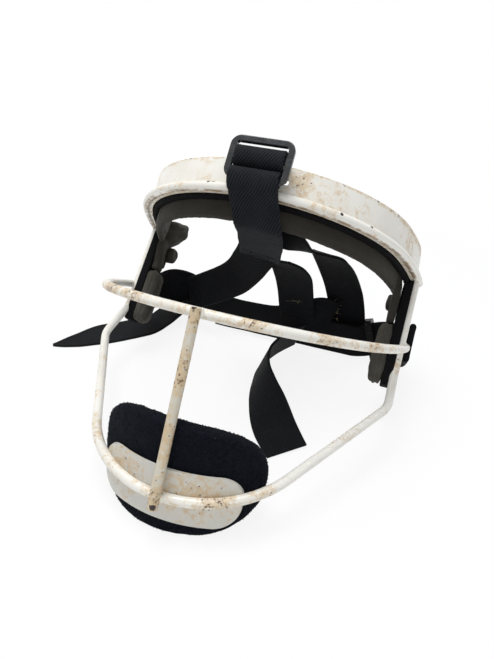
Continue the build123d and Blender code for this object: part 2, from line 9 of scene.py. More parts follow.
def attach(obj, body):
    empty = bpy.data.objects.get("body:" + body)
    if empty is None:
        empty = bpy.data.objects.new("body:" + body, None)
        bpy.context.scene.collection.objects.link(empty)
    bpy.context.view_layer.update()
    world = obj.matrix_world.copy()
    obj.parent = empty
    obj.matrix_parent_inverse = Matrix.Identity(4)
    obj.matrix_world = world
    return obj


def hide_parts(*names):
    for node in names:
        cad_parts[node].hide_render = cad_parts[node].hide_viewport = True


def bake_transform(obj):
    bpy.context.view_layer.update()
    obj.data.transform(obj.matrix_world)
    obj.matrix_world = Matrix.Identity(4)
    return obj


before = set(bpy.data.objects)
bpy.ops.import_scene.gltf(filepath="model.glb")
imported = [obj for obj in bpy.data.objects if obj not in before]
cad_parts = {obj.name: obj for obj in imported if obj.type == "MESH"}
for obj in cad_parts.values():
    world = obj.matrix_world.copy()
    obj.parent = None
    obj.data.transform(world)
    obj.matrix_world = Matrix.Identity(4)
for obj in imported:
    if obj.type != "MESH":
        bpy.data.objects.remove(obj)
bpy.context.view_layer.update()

# A fielder's face guard: enamelled steel wires, padded inside, with a slack webbing harness.
# Everything is in metres, in the frame of the solids, where the guard leans back on its chin
# pad and its rear strap.

mm = 0.001

# The upright frame of the steel, and how it leans
table_clear = 0.3 * mm
stand_lean = math.radians(28.8)
stand_lift = 39.7 * mm
brow_origin = Vector((0, -44.762, 134.717)) * mm
brow_back = Vector((0, 0.762668, -0.64679))
brow_up = Vector((0, 0.64679, 0.762668))
side_half_width = 91 * mm
side_forward = 5.3 * mm
side_lean = math.radians(17.5)

# Webbing and harness
webbing_width = 25.4 * mm
webbing_thickness = 1.6 * mm
harness_run = 100 * mm
harness_rise = 100 * mm


def standing(x, y, z):
    """A place of the upright steel, in millimetres, as the guard stands."""
    turned = Matrix.Rotation(-stand_lean, 3, "X") @ Vector((x, y, z)) * mm
    return turned + Vector((0, 0, stand_lift))


def side_place(hand, back, up, out=0):
    """A place given behind, above and outside a side wire, on the right (1) or the left (-1)."""
    run = Vector((0, math.cos(side_lean), -math.sin(side_lean))) * back
    rise = Vector((0, math.sin(side_lean), math.cos(side_lean))) * up
    spot = Vector((side_half_width / mm + out, -side_forward / mm, 0)) + run + rise
    return standing(hand * spot.x, spot.y, spot.z)


# ---------------------------------------------------------------- finishes


def linear(red, green, blue):
    """Linear colour of a colour written as a screen shows it."""
    parts = [part / 255 for part in (red, green, blue)]
    return tuple(p / 12.92 if p <= 0.04045 else ((p + 0.055) / 1.055) ** 2.4 for p in parts) + (1,)


class Finish:
    """A surface finish, built up in layers of colour, gloss and relief."""

    def __init__(self, name, roughness, specular=0.5, woven=False, **sockets):
        self.material = bpy.data.materials.new(name)
        self.material.use_nodes = True
        self.tree = self.material.node_tree
        self.shader = self.tree.nodes["Principled BSDF"]
        self.shader.inputs["Roughness"].default_value = roughness
        self.shader.inputs["Specular IOR Level"].default_value = specular
        for label, value in sockets.items():
            self.shader.inputs[label.replace("_", " ").title()].default_value = value
        if woven:
            self.place = self.node("ShaderNodeUVMap", {}, uv_map="weave")
        else:
            self.place = self.node("ShaderNodeTexCoord", {}, out="Object")
        self.normal = None

    def node(self, kind, sockets, out=0, **settings):
        made = self.tree.nodes.new(kind)
        for label, value in settings.items():
            setattr(made, label, value)
        for label, value in sockets.items():
            if isinstance(value, bpy.types.NodeSocket):
                self.tree.links.new(value, made.inputs[label])
            elif value is not None:
                made.inputs[label].default_value = value
        return made.outputs[out]

    def maths(self, operation, *values):
        return self.node("ShaderNodeMath", dict(enumerate(values)), operation=operation)

    def product(self, *values):
        result = values[0]
        for value in values[1:]:
            result = self.maths("MULTIPLY", result, value)
        return result

    def most(self, *values):
        result = values[0]
        for value in values[1:]:
            result = self.maths("MAXIMUM", result, value)
        return result

    def between(self, value, low, high):
        """0 below the low value and 1 above the high one, with a soft step between."""
        sockets = {"Value": value, "From Min": low, "From Max": high}
        return self.node("ShaderNodeMapRange", sockets, interpolation_type="SMOOTHSTEP")

    def clouds(self, size, detail=3, roughness=0.55, place=None):
        """Noise whose lumps are about the given size."""
        sockets = {
            "Vector": place or self.place, "Scale": 1 / size, "Detail": detail,
            "Roughness": roughness,
        }
        return self.node("ShaderNodeTexNoise", sockets)

    def cells(self, size, out):
        """Cells of about the given size: their colour, or the distance from their middles."""
        sockets = {"Vector": self.place, "Scale": 1 / size, "Randomness": 1}
        return self.node("ShaderNodeTexVoronoi", sockets, out=out)

    def specks(self, size, share, reach):
        """Round specks in some of the cells, as large as their reach at most."""
        pick = self.node("ShaderNodeSeparateColor", {0: self.cells(size, "Color")}, out=0)
        chosen = self.between(pick, 1 - share, 1 - share * 0.6)
        return self.product(self.between(self.cells(size, "Distance"), reach, reach * 0.5), chosen)

    def level(self, direction, origin):
        """How far a place lies along a direction from the origin."""
        sockets = {0: self.place, 1: origin}
        shifted = self.node("ShaderNodeVectorMath", sockets, operation="SUBTRACT")
        return self.node(
            "ShaderNodeVectorMath", {0: shifted, 1: direction}, out="Value", operation="DOT_PRODUCT"
        )

    def near(self, spot, reach):
        """1 at the spot, fading to 0 at its reach."""
        away = self.node(
            "ShaderNodeVectorMath", {0: self.place, 1: spot}, out="Value", operation="DISTANCE"
        )
        return self.between(away, reach, reach * 0.2)

    def mix(self, factor, low, high):
        sockets = {"Factor": factor, 6: low, 7: high}
        return self.node("ShaderNodeMix", sockets, out=2, data_type="RGBA")

    def ribs(self, pitch, along, across):
        """A wave that runs 0 to 1, across the given direction of the weave."""
        sockets = {0: self.place, 1: (along, across, 0)}
        run = self.node("ShaderNodeVectorMath", sockets, out="Value", operation="DOT_PRODUCT")
        wave = self.maths("SINE", self.maths("MULTIPLY", run, 2 * math.pi / pitch))
        return self.maths("MULTIPLY_ADD", wave, 0.5, 0.5)

    def relief(self, height, distance, strength=1):
        """Raise the surface by a height of 0 to 1 times the distance; a minus sign sinks it."""
        sockets = {
            "Height": height, "Distance": distance, "Strength": strength, "Normal": self.normal,
        }
        self.normal = self.node("ShaderNodeBump", sockets)

    def done(self, colour, roughness=None):
        links = self.tree.links
        links.new(colour, self.shader.inputs["Base Color"])
        if roughness is not None:
            links.new(roughness, self.shader.inputs["Roughness"])
        if self.normal is not None:
            links.new(self.normal, self.shader.inputs["Normal"])
        return self.material


enamel_colour = linear(240, 238, 231)
enamel_shade = linear(222, 217, 203)
line_colour = linear(150, 122, 92)
rust_colour = linear(104, 58, 34)
rust_light = linear(164, 112, 66)
rust_dark = linear(66, 40, 28)
stain_colour = linear(205, 172, 118)
chip_colour = linear(50, 37, 31)

# Where in their noise the dirt and the rust begin, and where each one is full
grime_from, grime_full = 0.5, 0.74
rust_from, rust_full = 0.735, 0.77
rust_cover = 0.9


def enamel(name, wear=0.2, seams=(), stains=(), chips=(), lines=(), colour=enamel_colour):
    """White enamel on steel, with dust, rust where it has worn, dirty joins and chips.

    Seams wear along a level, stains round a spot, and lines are narrow brown bands along a level,
    broken up by noise.
    """
    coat = Finish(name, 0.3, coat_weight=0.1)
    dust = coat.between(coat.clouds(24 * mm, 4, 0.6), 0.4, 0.7)
    body = coat.mix(coat.product(dust, 0.45), colour, enamel_shade)
    worn = coat.product(coat.between(coat.clouds(16 * mm, 3), 0.44, 0.64), wear)
    for direction, origin, start, end, strength in seams:
        along = coat.between(coat.level(direction, origin), start, end)
        worn = coat.most(worn, coat.product(along, strength))
    for spot, reach, strength in stains:
        worn = coat.most(worn, coat.product(coat.near(spot, reach), strength))
    grime = coat.maths("MULTIPLY_ADD", worn, 0.2, coat.clouds(3.2 * mm, 6, 0.7))
    grime = coat.product(coat.between(grime, grime_from, grime_full), coat.between(worn, 0.02, 0.3))
    body = coat.mix(coat.product(grime, 0.62), body, stain_colour)
    for direction, origin, centre, width, strength in lines:
        off = coat.maths("ABSOLUTE", coat.maths("SUBTRACT", coat.level(direction, origin), centre))
        broken = coat.between(coat.clouds(9 * mm, 5, 0.7), 0.36, 0.56)
        line_mark = coat.product(coat.between(off, width, width * 0.35), broken, strength)
        body = coat.mix(line_mark, body, line_colour)
    rust = coat.maths("MULTIPLY_ADD", worn, 0.19, coat.clouds(2.1 * mm, 7, 0.78))
    rust = coat.between(rust, rust_from, rust_full)
    spots = coat.product(coat.specks(1.9 * mm, 0.16, 0.26), coat.between(worn, 0.15, 0.5))
    rust = coat.most(rust, spots)
    tone = coat.between(coat.clouds(0.9 * mm, 3, 0.6), 0.35, 0.65)
    oxide = coat.mix(tone, rust_dark, rust_colour)
    oxide = coat.mix(coat.between(coat.clouds(3 * mm, 3), 0.5, 0.66), oxide, rust_light)
    body = coat.mix(coat.product(rust, rust_cover), body, oxide)
    bare = None
    for spot, reach in chips:
        wobble = coat.maths("MULTIPLY_ADD", coat.clouds(1.2 * mm, 3), 0.9, -0.3)
        edge = coat.between(coat.maths("ADD", coat.near(spot, reach * 1.6), wobble), 0.5, 0.7)
        bare = edge if bare is None else coat.most(bare, edge)
    if bare is not None:
        body = coat.mix(bare, body, chip_colour)
        coat.relief(bare, 0.25 * mm, -1)
    coat.relief(coat.clouds(4.5 * mm, 2), 0.05 * mm)
    coat.relief(rust, 0.14 * mm)
    gloss = coat.maths("MULTIPLY_ADD", coat.most(rust, coat.product(grime, 0.6)), 0.5, 0.27)
    return coat.done(body, gloss)


fluff_colour = linear(120, 114, 100)
crumb_colour = linear(150, 142, 120)
scratch_colour = linear(120, 122, 126)


def toned(light, share):
    """A colour made darker or paler by a share."""
    return tuple(part * share for part in light[:3]) + (1,)


def webbing_finish(name, light, twill, dust=0.1, deep=0.5):
    """Black woven webbing: lengthways ribs crossed by a fine diagonal twill, in millimetres."""
    cloth = Finish(name, 0.66, specular=0.07, woven=True, sheen_weight=0.012, sheen_roughness=0.4)
    slant = cloth.ribs(1.25, 0.78, 0.62)
    picks = cloth.ribs(0.9, 0, 1)
    ends = cloth.ribs(0.75, 1, 0)
    weave = cloth.maths("MULTIPLY_ADD", slant, 0.7, cloth.product(ends, 0.3))
    worn = cloth.between(cloth.clouds(22, 4, 0.6), 0.35, 0.75)
    shade = cloth.maths("MULTIPLY_ADD", weave, twill, cloth.product(worn, 0.35))
    body = cloth.mix(cloth.between(shade, 0, 1), toned(light, deep), light)
    fluff = cloth.product(cloth.between(cloth.clouds(1.1, 5, 0.75), 0.66, 0.74), dust)
    body = cloth.mix(fluff, body, fluff_colour)
    cloth.relief(slant, 0.2 * mm, 0.9)
    cloth.relief(cloth.product(ends, picks), 0.1 * mm, 0.7)
    return cloth.done(body)


def padding_finish(name, light, grain=0.55, relief=0.12, sheen=0.02, roughness=0.7):
    """Dark knitted cover over foam."""
    cover = Finish(name, roughness, specular=0.12, sheen_weight=sheen, sheen_roughness=0.5)
    mottle = cover.between(cover.clouds(13 * mm, 4, 0.6), 0.3, 0.7)
    body = cover.mix(mottle, toned(light, 0.6), light)
    knit = cover.cells(grain * mm, "Distance")
    body = cover.mix(cover.product(cover.between(knit, 0.1, 0.5), 0.35), body, toned(light, 1.45))
    cover.relief(knit, relief * mm, -0.6)
    cover.relief(cover.clouds(7 * mm, 3), 0.35 * mm, 0.5)
    return cover.done(body)


def foam_finish(name, light):
    """Cut black foam with fine open cells."""
    foam = Finish(name, 0.85, specular=0.06)
    pores = foam.cells(0.7 * mm, "Distance")
    body = foam.mix(foam.between(pores, 0.1, 0.55), toned(light, 0.4), light)
    foam.relief(pores, 0.18 * mm, -0.8)
    return foam.done(body)


def felt_finish(name, light):
    """Looped pile that the hook strip grips, navy black."""
    pile = Finish(name, 0.9, specular=0.05, sheen_weight=0.02, sheen_roughness=0.6)
    tufts = pile.clouds(1.3 * mm, 6, 0.75)
    body = pile.mix(pile.between(tufts, 0.36, 0.64), toned(light, 0.35), light)
    tips = pile.between(pile.clouds(0.6 * mm, 4, 0.8), 0.56, 0.72)
    body = pile.mix(pile.product(tips, 0.55), body, toned(light, 2.1))
    crumbs = pile.specks(5 * mm, 0.08, 0.05)
    body = pile.mix(pile.product(crumbs, 0.5), body, crumb_colour)
    pile.relief(tufts, 0.7 * mm)
    pile.relief(tips, 0.2 * mm)
    return pile.done(body)


def moulded_finish(name, light, roughness, specular=0.5):
    """Moulded plastic with a spark-eroded grain, rubbed on its edges."""
    skin = Finish(name, roughness, specular=specular)
    worn = skin.between(skin.clouds(6 * mm, 4, 0.65), 0.4, 0.7)
    body = skin.mix(worn, toned(light, 0.75), light)
    scratches = skin.node("ShaderNodeMapping", {
        "Vector": skin.place, "Scale": (0.25, 1.6, 1.6), "Rotation": (0, 0.5, 0.3),
    })
    fine = skin.between(skin.clouds(0.9 * mm, 2, 0.6, place=scratches), 0.62, 0.7)
    body = skin.mix(skin.product(fine, 0.25), body, scratch_colour)
    skin.relief(skin.clouds(0.6 * mm, 3), 0.012 * mm)
    gloss = skin.maths("MULTIPLY_ADD", worn, 0.12, roughness - 0.06)
    return skin.done(body, gloss)


# ---------------------------------------------------------------- mesh helpers


def new_piece(name, mesh):
    piece = bpy.data.objects.new(name, mesh)
    bpy.context.scene.collection.objects.link(piece)
    return piece


def settled(piece):
    """The piece with its modifiers made part of its mesh."""
    bpy.context.view_layer.update()
    shape = piece.evaluated_get(bpy.context.evaluated_depsgraph_get())
    mesh = bpy.data.meshes.new_from_object(shape)
    piece.modifiers.clear()
    old, piece.data = piece.data, mesh
    bpy.data.meshes.remove(old)
    mesh.name = piece.name
    return piece


def finish_piece(piece, material, slot, body, *nodes):
    """Give a piece its material, its body and the nodes that it stands for; its record slot is not
    used.
    """
    piece.data.materials.clear()
    piece.data.materials.append(material)
    piece.data.polygons.foreach_set("use_smooth", [True] * len(piece.data.polygons))
    if body:
        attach(piece, body)
    if nodes:
        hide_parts(*nodes)
    return piece


# ---------------------------------------------------------------- harness

# Each strap is a list of places, the way its width lies there and, if it narrows, its share of
# the full width. On the brow a place is across, behind and above its foremost point, in widths
# of webbing. In the rest it is across, back and up, in shares of the harness's own sizes.
brow_run = [
    ((0.158, -0.147, 0.086), (1, 0, 0)),
    ((0.158, -0.145, 0.208), (1, 0, 0)),
    ((0.158, -0.184, 0.268), (1, 0, 0)),
    ((0.158, -0.268, 0.287), (1, 0, 0)),
    ((0.158, -0.352, 0.268), (1, 0, 0)),
    ((0.158, -0.402, 0.200), (1, 0, 0)),
    ((0.158, -0.405, 0.087), (1, 0, 0)),
    ((0.201, -0.342, -0.074), (1, 0, 0)),
    ((0.215, -0.203, -0.189), (1, 0, 0)),
    ((0.244, -0.022, -0.329), (1, -0.02, 0)),
    ((0.301, 0.133, -0.518), (1, -0.05, 0)),
    ((0.322, 0.327, -0.632), (1, -0.05, 0)),
    ((0.279, 0.765, -0.643), (1, -0.10, 0)),
]
top_run = [
    ((0.048, -0.300, 1.006), (1, -0.10, 0)),
    ((0.009, -0.170, 0.904), (1, -0.10, 0)),
    ((-0.019, -0.080, 0.836), (1, -0.10, 0)),
]
yoke_left_run = [
    ((-0.025, -0.085, 0.892), (1, -0.10, 0.00)),
    ((-0.073, -0.031, 0.811), (0.93, -0.10, -0.22)),
    ((-0.148, 0.040, 0.699), (0.80, -0.14, -0.48)),
    ((-0.265, 0.140, 0.553), (0.62, -0.30, -0.62)),
    ((-0.426, 0.220, 0.423), (0.48, -0.45, -0.70)),
    ((-0.595, 0.270, 0.317), (0.40, -0.50, -0.72)),
    ((-0.719, 0.295, 0.243), (0.36, -0.52, -0.74)),
]
yoke_right_run = [
    ((0.086, -0.030, 0.810), (0.98, -0.12, -0.10)),
    ((0.152, 0.030, 0.749), (1, -0.05, -0.05)),
    ((0.171, 0.130, 0.645), (1, 0.05, 0.00)),
    ((0.176, 0.220, 0.514), (1, 0.05, 0.00)),
    ((0.186, 0.270, 0.380), (1, 0.05, 0.02)),
    ((0.205, 0.290, 0.250), (1, 0.03, 0.05)),
]
twisted_run = [
    ((0.085, -0.150, 1.080), (0.10, -0.15, 0.98)),
    ((0.138, -0.140, 1.030), (0.15, -0.35, 0.92)),
    ((0.222, -0.100, 0.962), (0.22, -0.65, 0.70), 0.8),
    ((0.312, -0.030, 0.912), (0.30, -0.86, 0.38), 0.4),
    ((0.392, 0.050, 0.878), (0.90, -0.42, 0.10), 0.9),
    ((0.425, 0.140, 0.800), (0.97, -0.24, 0.03)),
    ((0.462, 0.240, 0.690), (1, -0.10, 0.03)),
    ((0.505, 0.340, 0.545), (1, 0, 0.08)),
    ((0.546, 0.390, 0.408), (1, 0, 0.1)),
    ((0.580, 0.405, 0.263), (1, 0, 0.12)),
    ((0.600, 0.400, 0.150), (1, 0, 0.12)),
]
rear_run = [
    ((-0.955, 0.300, 0.225), (0.00, 0.70, 0.72)),
    ((-0.900, 0.360, 0.245), (0.02, 0.45, 0.90)),
    ((-0.760, 0.400, 0.220), (0.04, 0.12, 1.00)),
    ((-0.600, 0.390, 0.165), (0.00, 0.00, 1.00)),
    ((-0.450, 0.365, 0.000), (0.00, 0.00, 1.00)),
    ((-0.200, 0.345, 0.000), (0.00, 0.00, 1.00)),
    ((0.250, 0.345, 0.000), (0.00, 0.00, 1.00)),
    ((0.640, 0.355, 0.000), (0.00, 0.00, 1.00)),
    ((0.800, 0.370, 0.165), (-0.04, 0.12, 1.00)),
    ((0.910, 0.345, 0.210), (-0.02, 0.45, 0.90)),
    ((0.955, 0.300, 0.225), (0.00, 0.70, 0.72)),
]
overlap_run = [
    ((-0.500, 0.325, 0.140), (0.00, 0.05, 1.00)),
    ((-0.250, 0.312, 0.150), (0.02, 0.05, 1.00)),
    ((0.050, 0.312, 0.170), (-0.05, 0.10, 1.00)),
    ((0.300, 0.315, 0.272), (-0.20, 0.10, 1.00)),
    ((0.400, 0.318, 0.312), (-0.10, 0.12, 1.00)),
    ((0.475, 0.318, 0.298), (0.10, 0.12, 1.00)),
]
left_tail_run = [
    ((-0.800, 0.385, 0.130), (0.78, -0.63, 0), 1.15),
    ((-0.850, 0.310, 0.100), (0.70, -0.72, 0.1), 1.18),
    ((-0.915, 0.210, 0.045), (0.64, -0.77, 0.05), 1.08),
    ((-0.990, 0.091, 0.008), (0.6, -0.8, 0)),
    ((-1.133, -0.055, 0.008), (0.58, -0.81, 0)),
    ((-1.267, -0.172, 0.008), (0.56, -0.83, 0)),
    ((-1.368, -0.287, 0.008), (0.54, -0.84, 0), 0.72),
    ((-1.450, -0.371, 0.008), (0.5, -0.86, 0), 0.42),
    ((-1.522, -0.430, 0.008), (0.5, -0.86, 0), 0.1),
]
right_tail_run = [
    ((0.245, 0.275, 0.130), (0.3, -0.2, 0.92)),
    ((0.141, 0.102, 0.124), (0.3, -0.18, 0.92)),
    ((0.090, -0.089, 0.120), (0.32, -0.13, 0.92)),
    ((0.118, -0.270, 0.120), (0.40, -0.09, 0.90)),
    ((0.172, -0.390, 0.105), (0.60, 0.03, 0.78)),
    ((0.255, -0.505, 0.072), (0.78, 0.22, 0.56)),
    ((0.359, -0.636, 0.032), (0.87, 0.42, 0.22)),
    ((0.479, -0.752, 0.008), (0.88, 0.47, 0.0)),
]


def brow_stations(run):
    """Places, width directions and shares of the width along a strap on the brow."""
    stations = []
    for (across, back, up), lie, *narrow in run:
        spot = Vector((across * webbing_width, 0, 0)) + brow_origin
        spot += (brow_back * back + brow_up * up) * webbing_width
        stations.append((spot, Vector(lie).normalized(), narrow[0] if narrow else 1))
    return stations


def harness_stations(run):
    """The same along a strap behind the brow, where none goes below the table."""
    stations = []
    for (across, along, up), lie, *narrow in run:
        width = Vector(lie).normalized()
        edge = abs(width.z) * webbing_width / 2
        flat = math.hypot(width.x, width.y) * webbing_thickness / 2
        height = max(up * harness_rise, edge + flat)
        spot = Vector((across * side_half_width, along * harness_run, height))
        stations.append((spot, width, narrow[0] if narrow else 1))
    return stations


def flowing(values, steps):
    """Values on a smooth line through the given ones."""
    line = []
    for i in range(len(values) - 1):
        before, start = values[max(i - 1, 0)], values[i]
        end, after = values[i + 1], values[min(i + 2, len(values) - 1)]
        for step in range(steps):
            t = step / steps
            line.append(
                start + (end - before) * (t / 2)
                + (before * 2 - start * 5 + end * 4 - after) * (t * t / 2)
                + (start * 3 - before - end * 3 + after) * (t**3 / 2)
            )
    return line + [values[-1]]


strip_columns = 14
strip_edge_steps = 4
selvedge = 1.6 * mm
selvedge_rise = 0.12 * mm
least_span = 0.04
span_wander = 0.02
span_wave, drift_wave = 9, 14


def strip_profile(half, thickness):
    """Cross-section of webbing as (across, depth, place on the weave), round its rounded edges."""
    edge = thickness / 2
    flat = half - edge
    top = []
    for k in range(strip_columns + 1):
        across = flat * (2 * k / strip_columns - 1)
        rise = selvedge_rise if flat - abs(across) < selvedge else 0
        top.append((across, edge + rise, across))
    turn = []
    for k in range(1, strip_edge_steps):
        angle = math.pi * k / strip_edge_steps
        turn.append((flat + edge * math.sin(angle), edge * math.cos(angle), flat + edge * k / 2))
    right = top + turn
    return right + [(-across, -depth, -place) for across, depth, place in right]


def strip_frames(stations, steps, wander, seed):
    """Centre, width direction, facing and half width along a strap, kept above the table."""
    centres = flowing([spot for spot, _, _ in stations], steps)
    widths = flowing([width for _, width, _ in stations], steps)
    spans = flowing([narrow for _, _, narrow in stations], steps)
    frames = []
    for i, (centre, width, span) in enumerate(zip(centres, widths, spans)):
        travel = centres[min(i + 1, len(centres) - 1)] - centres[max(i - 1, 0)]
        across = (width - travel * (width.dot(travel) / travel.dot(travel))).normalized()
        facing = travel.normalized().cross(across)
        half = webbing_width / 2 * max(span, least_span)
        half *= 1 + span_wander * noise.noise(Vector((seed, i / span_wave, 0)))
        drift = facing * wander * noise.noise(Vector((seed, i / drift_wave, 4)))
        depth = abs(across.z) * 2 * half + abs(facing.z) * webbing_thickness
        centre = centre + drift
        centre.z = max(centre.z, depth / 2)
        frames.append((centre, across, facing, half))
    return frames


def strip_mesh(name, frames, thickness):
    """Closed strip of webbing along its frames, with the weave's own map in millimetres."""
    mesh = bpy.data.meshes.new(name)
    work = bmesh.new()
    weave = work.loops.layers.uv.new("weave")
    rings, run, last = [], 0, None
    for centre, across, facing, half in frames:
        run += (centre - last).length if last is not None else 0
        last = centre
        ring = []
        for a, d, place in strip_profile(half, thickness):
            spot = centre + across * a + facing * d
            ring.append((work.verts.new(spot), place / mm, run / mm))
        rings.append(ring)
    size = len(rings[0])

    def face(corners):
        made = work.faces.new([corner[0] for corner in corners])
        for loop, (_, u, v) in zip(made.loops, corners):
            loop[weave].uv = (u, v)

    for one, two in zip(rings, rings[1:]):
        for k in range(size):
            n = (k + 1) % size
            face([one[k], one[n], two[n], two[k]])
    half_size = size // 2
    for ring, flip in ((rings[0], False), (rings[-1], True)):
        top = ring[: strip_columns + 1]
        bottom = ring[half_size : half_size + strip_columns + 1][::-1]
        for k in range(strip_columns):
            corners = [top[k], bottom[k], bottom[k + 1], top[k + 1]]
            face(corners[::-1] if flip else corners)
        right = [top[-1]] + ring[strip_columns + 1 : half_size] + [bottom[-1]]
        left = [bottom[0]] + ring[half_size + strip_columns + 1 :] + [top[0]]
        for side in (right, left):
            face(side if flip else side[::-1])
    bmesh.ops.recalc_face_normals(work, faces=work.faces)
    work.to_mesh(mesh)
    work.free()
    return mesh


slack_wander = 0.35 * mm


def strap(name, stations, material, nodes, body="guard", steps=12, wander=slack_wander, seed=1,
          thickness=webbing_thickness):
    """A strap through its stations, and the frames that threads and fibres are laid on."""
    frames = strip_frames(stations, steps, wander, seed)
    piece = new_piece(name, strip_mesh(name, frames, thickness))
    return finish_piece(piece, material, "webbing", body, *nodes), frames


twill_black = webbing_finish("twill_black", linear(38, 40, 45), 0.9, deep=0.12)
harness_black = webbing_finish("harness_black", linear(17, 18, 21), 0.5)
# The tails are the harness's black webbing painted paler, a painted reflection of the overhead
# light glancing off them, with more dust fluff.
tail_lit_black = webbing_finish("tail_lit_black", linear(27, 28, 31), 0.55, 0.3)

# Name, stations, cloth, seed and wander of each strap that stays with the guard
harness = [
    ("top_strap", brow_stations(brow_run) + harness_stations(top_run), twill_black, 1.5, 0.1 * mm),
    ("yoke_left", harness_stations(yoke_left_run), harness_black, 2.5, slack_wander),
    ("yoke_right", harness_stations(yoke_right_run), harness_black, 3.5, slack_wander),
    ("twisted_strap", harness_stations(twisted_run), harness_black, 4.5, slack_wander),
    ("rear_strap", harness_stations(rear_run), harness_black, 5.5, slack_wander),
    ("overlap_strap", harness_stations(overlap_run), harness_black, 6.5, slack_wander),
]
laid = {}
for name, stations, cloth, seed, wander in harness:
    _, laid[name] = strap(f"{name}_cloth", stations, cloth, [name], seed=seed, wander=wander)

# Each loose end lies between the strap that it leaves and the body that lifts it
loose_ends = [
    ("left", left_tail_run, 7.5, (-0.0728, 0.038, 0.0088), (-0.0905, 0.0155, 0.0030)),
    ("right", right_tail_run, 8.5, (0.0223, 0.0275, 0.013), (0.0105, 0.0, 0.0122)),
]
for word, run, seed, start, end in loose_ends:
    tail, _ = strap(
        f"{word}_tail_cloth", harness_stations(run), tail_lit_black, [], body=None, seed=seed
    )
    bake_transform(tail)
    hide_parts(f"{word}_tail")

# The buckle's own loop, through the band's slot and back over its top edge, in millimetres
# behind and above the brow's foremost point
loop_run = [
    (6.7, 14.4), (6.7, 17.2), (5.2, 19.1), (1.0, 19.3), (-4.0, 19.2), (-7.6, 18.4),
    (-9.2, 16.3), (-9.3, 13.6), (-8.2, 11.2), (-5.6, 9.5), (-1.0, 9.1), (3.6, 9.1),
    (6.2, 10.2), (6.7, 12.4), (6.7, 14.0),
]
loop_offset = 4 * mm


def loop_stations():
    across = Vector((1, 0, 0))
    spots = [brow_origin + brow_back * (back * mm) + brow_up * (up * mm) for back, up in loop_run]
    return [(spot + across * loop_offset, across, 1) for spot in spots]


strap(
    "buckle_loop_cloth", loop_stations(), twill_black, ["buckle_loop"], seed=9.5, wander=0, steps=5
)

# Each side's strap end goes through its plate's slot, back on itself, and on to the rear strap,
# with its end folded flat outside it: millimetres behind the side wire and outside it
tab_run = [
    (31.2, -0.9), (26.5, -1.9), (21.0, -2.4), (16.4, -2.4), (13.9, -1.7), (13.1, 0),
    (13.9, 1.7), (16.4, 2.4), (21.0, 2.5), (27.0, 1.9), (31.0, 1.0),
]
fold_run = [(28.5, 3.9), (25.5, 4.5), (21.0, 4.9), (15.0, 5.0), (9.5, 5.0)]
fold_thickness = 4.0 * mm
tab_level = 6.6
tab_inset = 1.7 * mm
tab_root = Vector((-2.2, 4.5, 0.2)) * mm


def tab_stations(hand, run):
    rise = side_place(hand, 0, 1) - side_place(hand, 0, 0)
    return [(side_place(hand, back, tab_level, out), rise.normalized(), 1) for back, out in run]


def build_tab(hand, word):
    """A strap end round the rear bar of its plate's slot, joined to the rear strap."""
    rear_end, lie, _ = harness_stations(rear_run if hand < 0 else rear_run[::-1])[0]
    inside = rear_end + Vector((-hand * tab_inset, 0, 0))
    root = inside + Vector((hand * tab_root.x, tab_root.y, tab_root.z))
    run = [(root, lie, 1), (inside, lie, 1)] + tab_stations(hand, tab_run)
    fold = tab_stations(hand, fold_run)
    if hand < 0:
        run, fold = [[(spot, -width, 1) for spot, width, _ in line] for line in (run, fold)]
    tab, _ = strap(f"strap_tab_{word}_cloth", run, harness_black, [], None, 6, 0)
    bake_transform(tab)
    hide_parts(f"strap_tab_{word}")
    strap(
        f"tab_fold_{word}", fold, harness_black, [], f"tab_{word}", 6, 0,
        thickness=fold_thickness,
    )


build_tab(-1, "left")
build_tab(1, "right")


# ---------------------------------------------------------------- padding

# The covers are blown up at five times their size, where cloth behaves like a cushion's cover
cushion_scale = 5
fill_frames = 20
lining_face = 7.1
# The chin's own frame, upright and in millimetres: how its pad curves round and how tall it is
chin_forward, chin_drop = 117.2, 85.3
chin_up = Vector((0, -0.2079, 0.9781))
chin_back = Vector((0, 0.9781, 0.2079))
chin_reach = 63.5
chin_outer = 58.0
chin_thickness = 10.2
chin_half_turn = math.radians(51.2)
chin_middle, chin_top, chin_foot = 6.0, 28.4, 26.5
# How square its outline is above and below, and the mesh's steps round it, in and at its rim
chin_power, chin_foot_power = 2.7, 2.25
chin_segments, chin_rings, chin_rim_steps = 96, 12, 8
chin_rim = 0.09
# Where it stands on the table, its foot is pressed out and down
foot_out, foot_down = 2.4, 2.6


def spots_of(piece):
    return [point.co.copy() for point in piece.data.vertices]


def pushed(piece, push_of, unit=mm):
    """Move each point along its normal by what push_of says for its place and normal."""
    points = piece.data.vertices
    rows = [(point.co.copy(), point.normal.copy()) for point in points]
    moved = []
    for spot, normal in rows:
        moved.extend(spot + normal * push_of(spot, normal) * unit)
    points.foreach_set("co", moved)
    piece.data.update()


def pad_blank(name, node, voxel, inset, soften):
    """The node's solid as one even closed mesh, a little smaller than it is."""
    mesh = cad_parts[node].data.copy()
    work = bmesh.new()
    work.from_mesh(mesh)
    bmesh.ops.remove_doubles(work, verts=work.verts, dist=0.002 * mm)
    work.to_mesh(mesh)
    work.free()
    mesh.transform(Matrix.Scale(cushion_scale, 4))
    piece = new_piece(name, mesh)
    voxels = piece.modifiers.new("voxels", "REMESH")
    voxels.mode, voxels.voxel_size = "VOXEL", voxel * mm * cushion_scale
    settled(piece)
    pushed(piece, lambda spot, normal: -inset, mm * cushion_scale)
    smoothing = piece.modifiers.new("soften", "SMOOTH")
    smoothing.factor, smoothing.iterations = 0.5, soften
    return settled(piece)


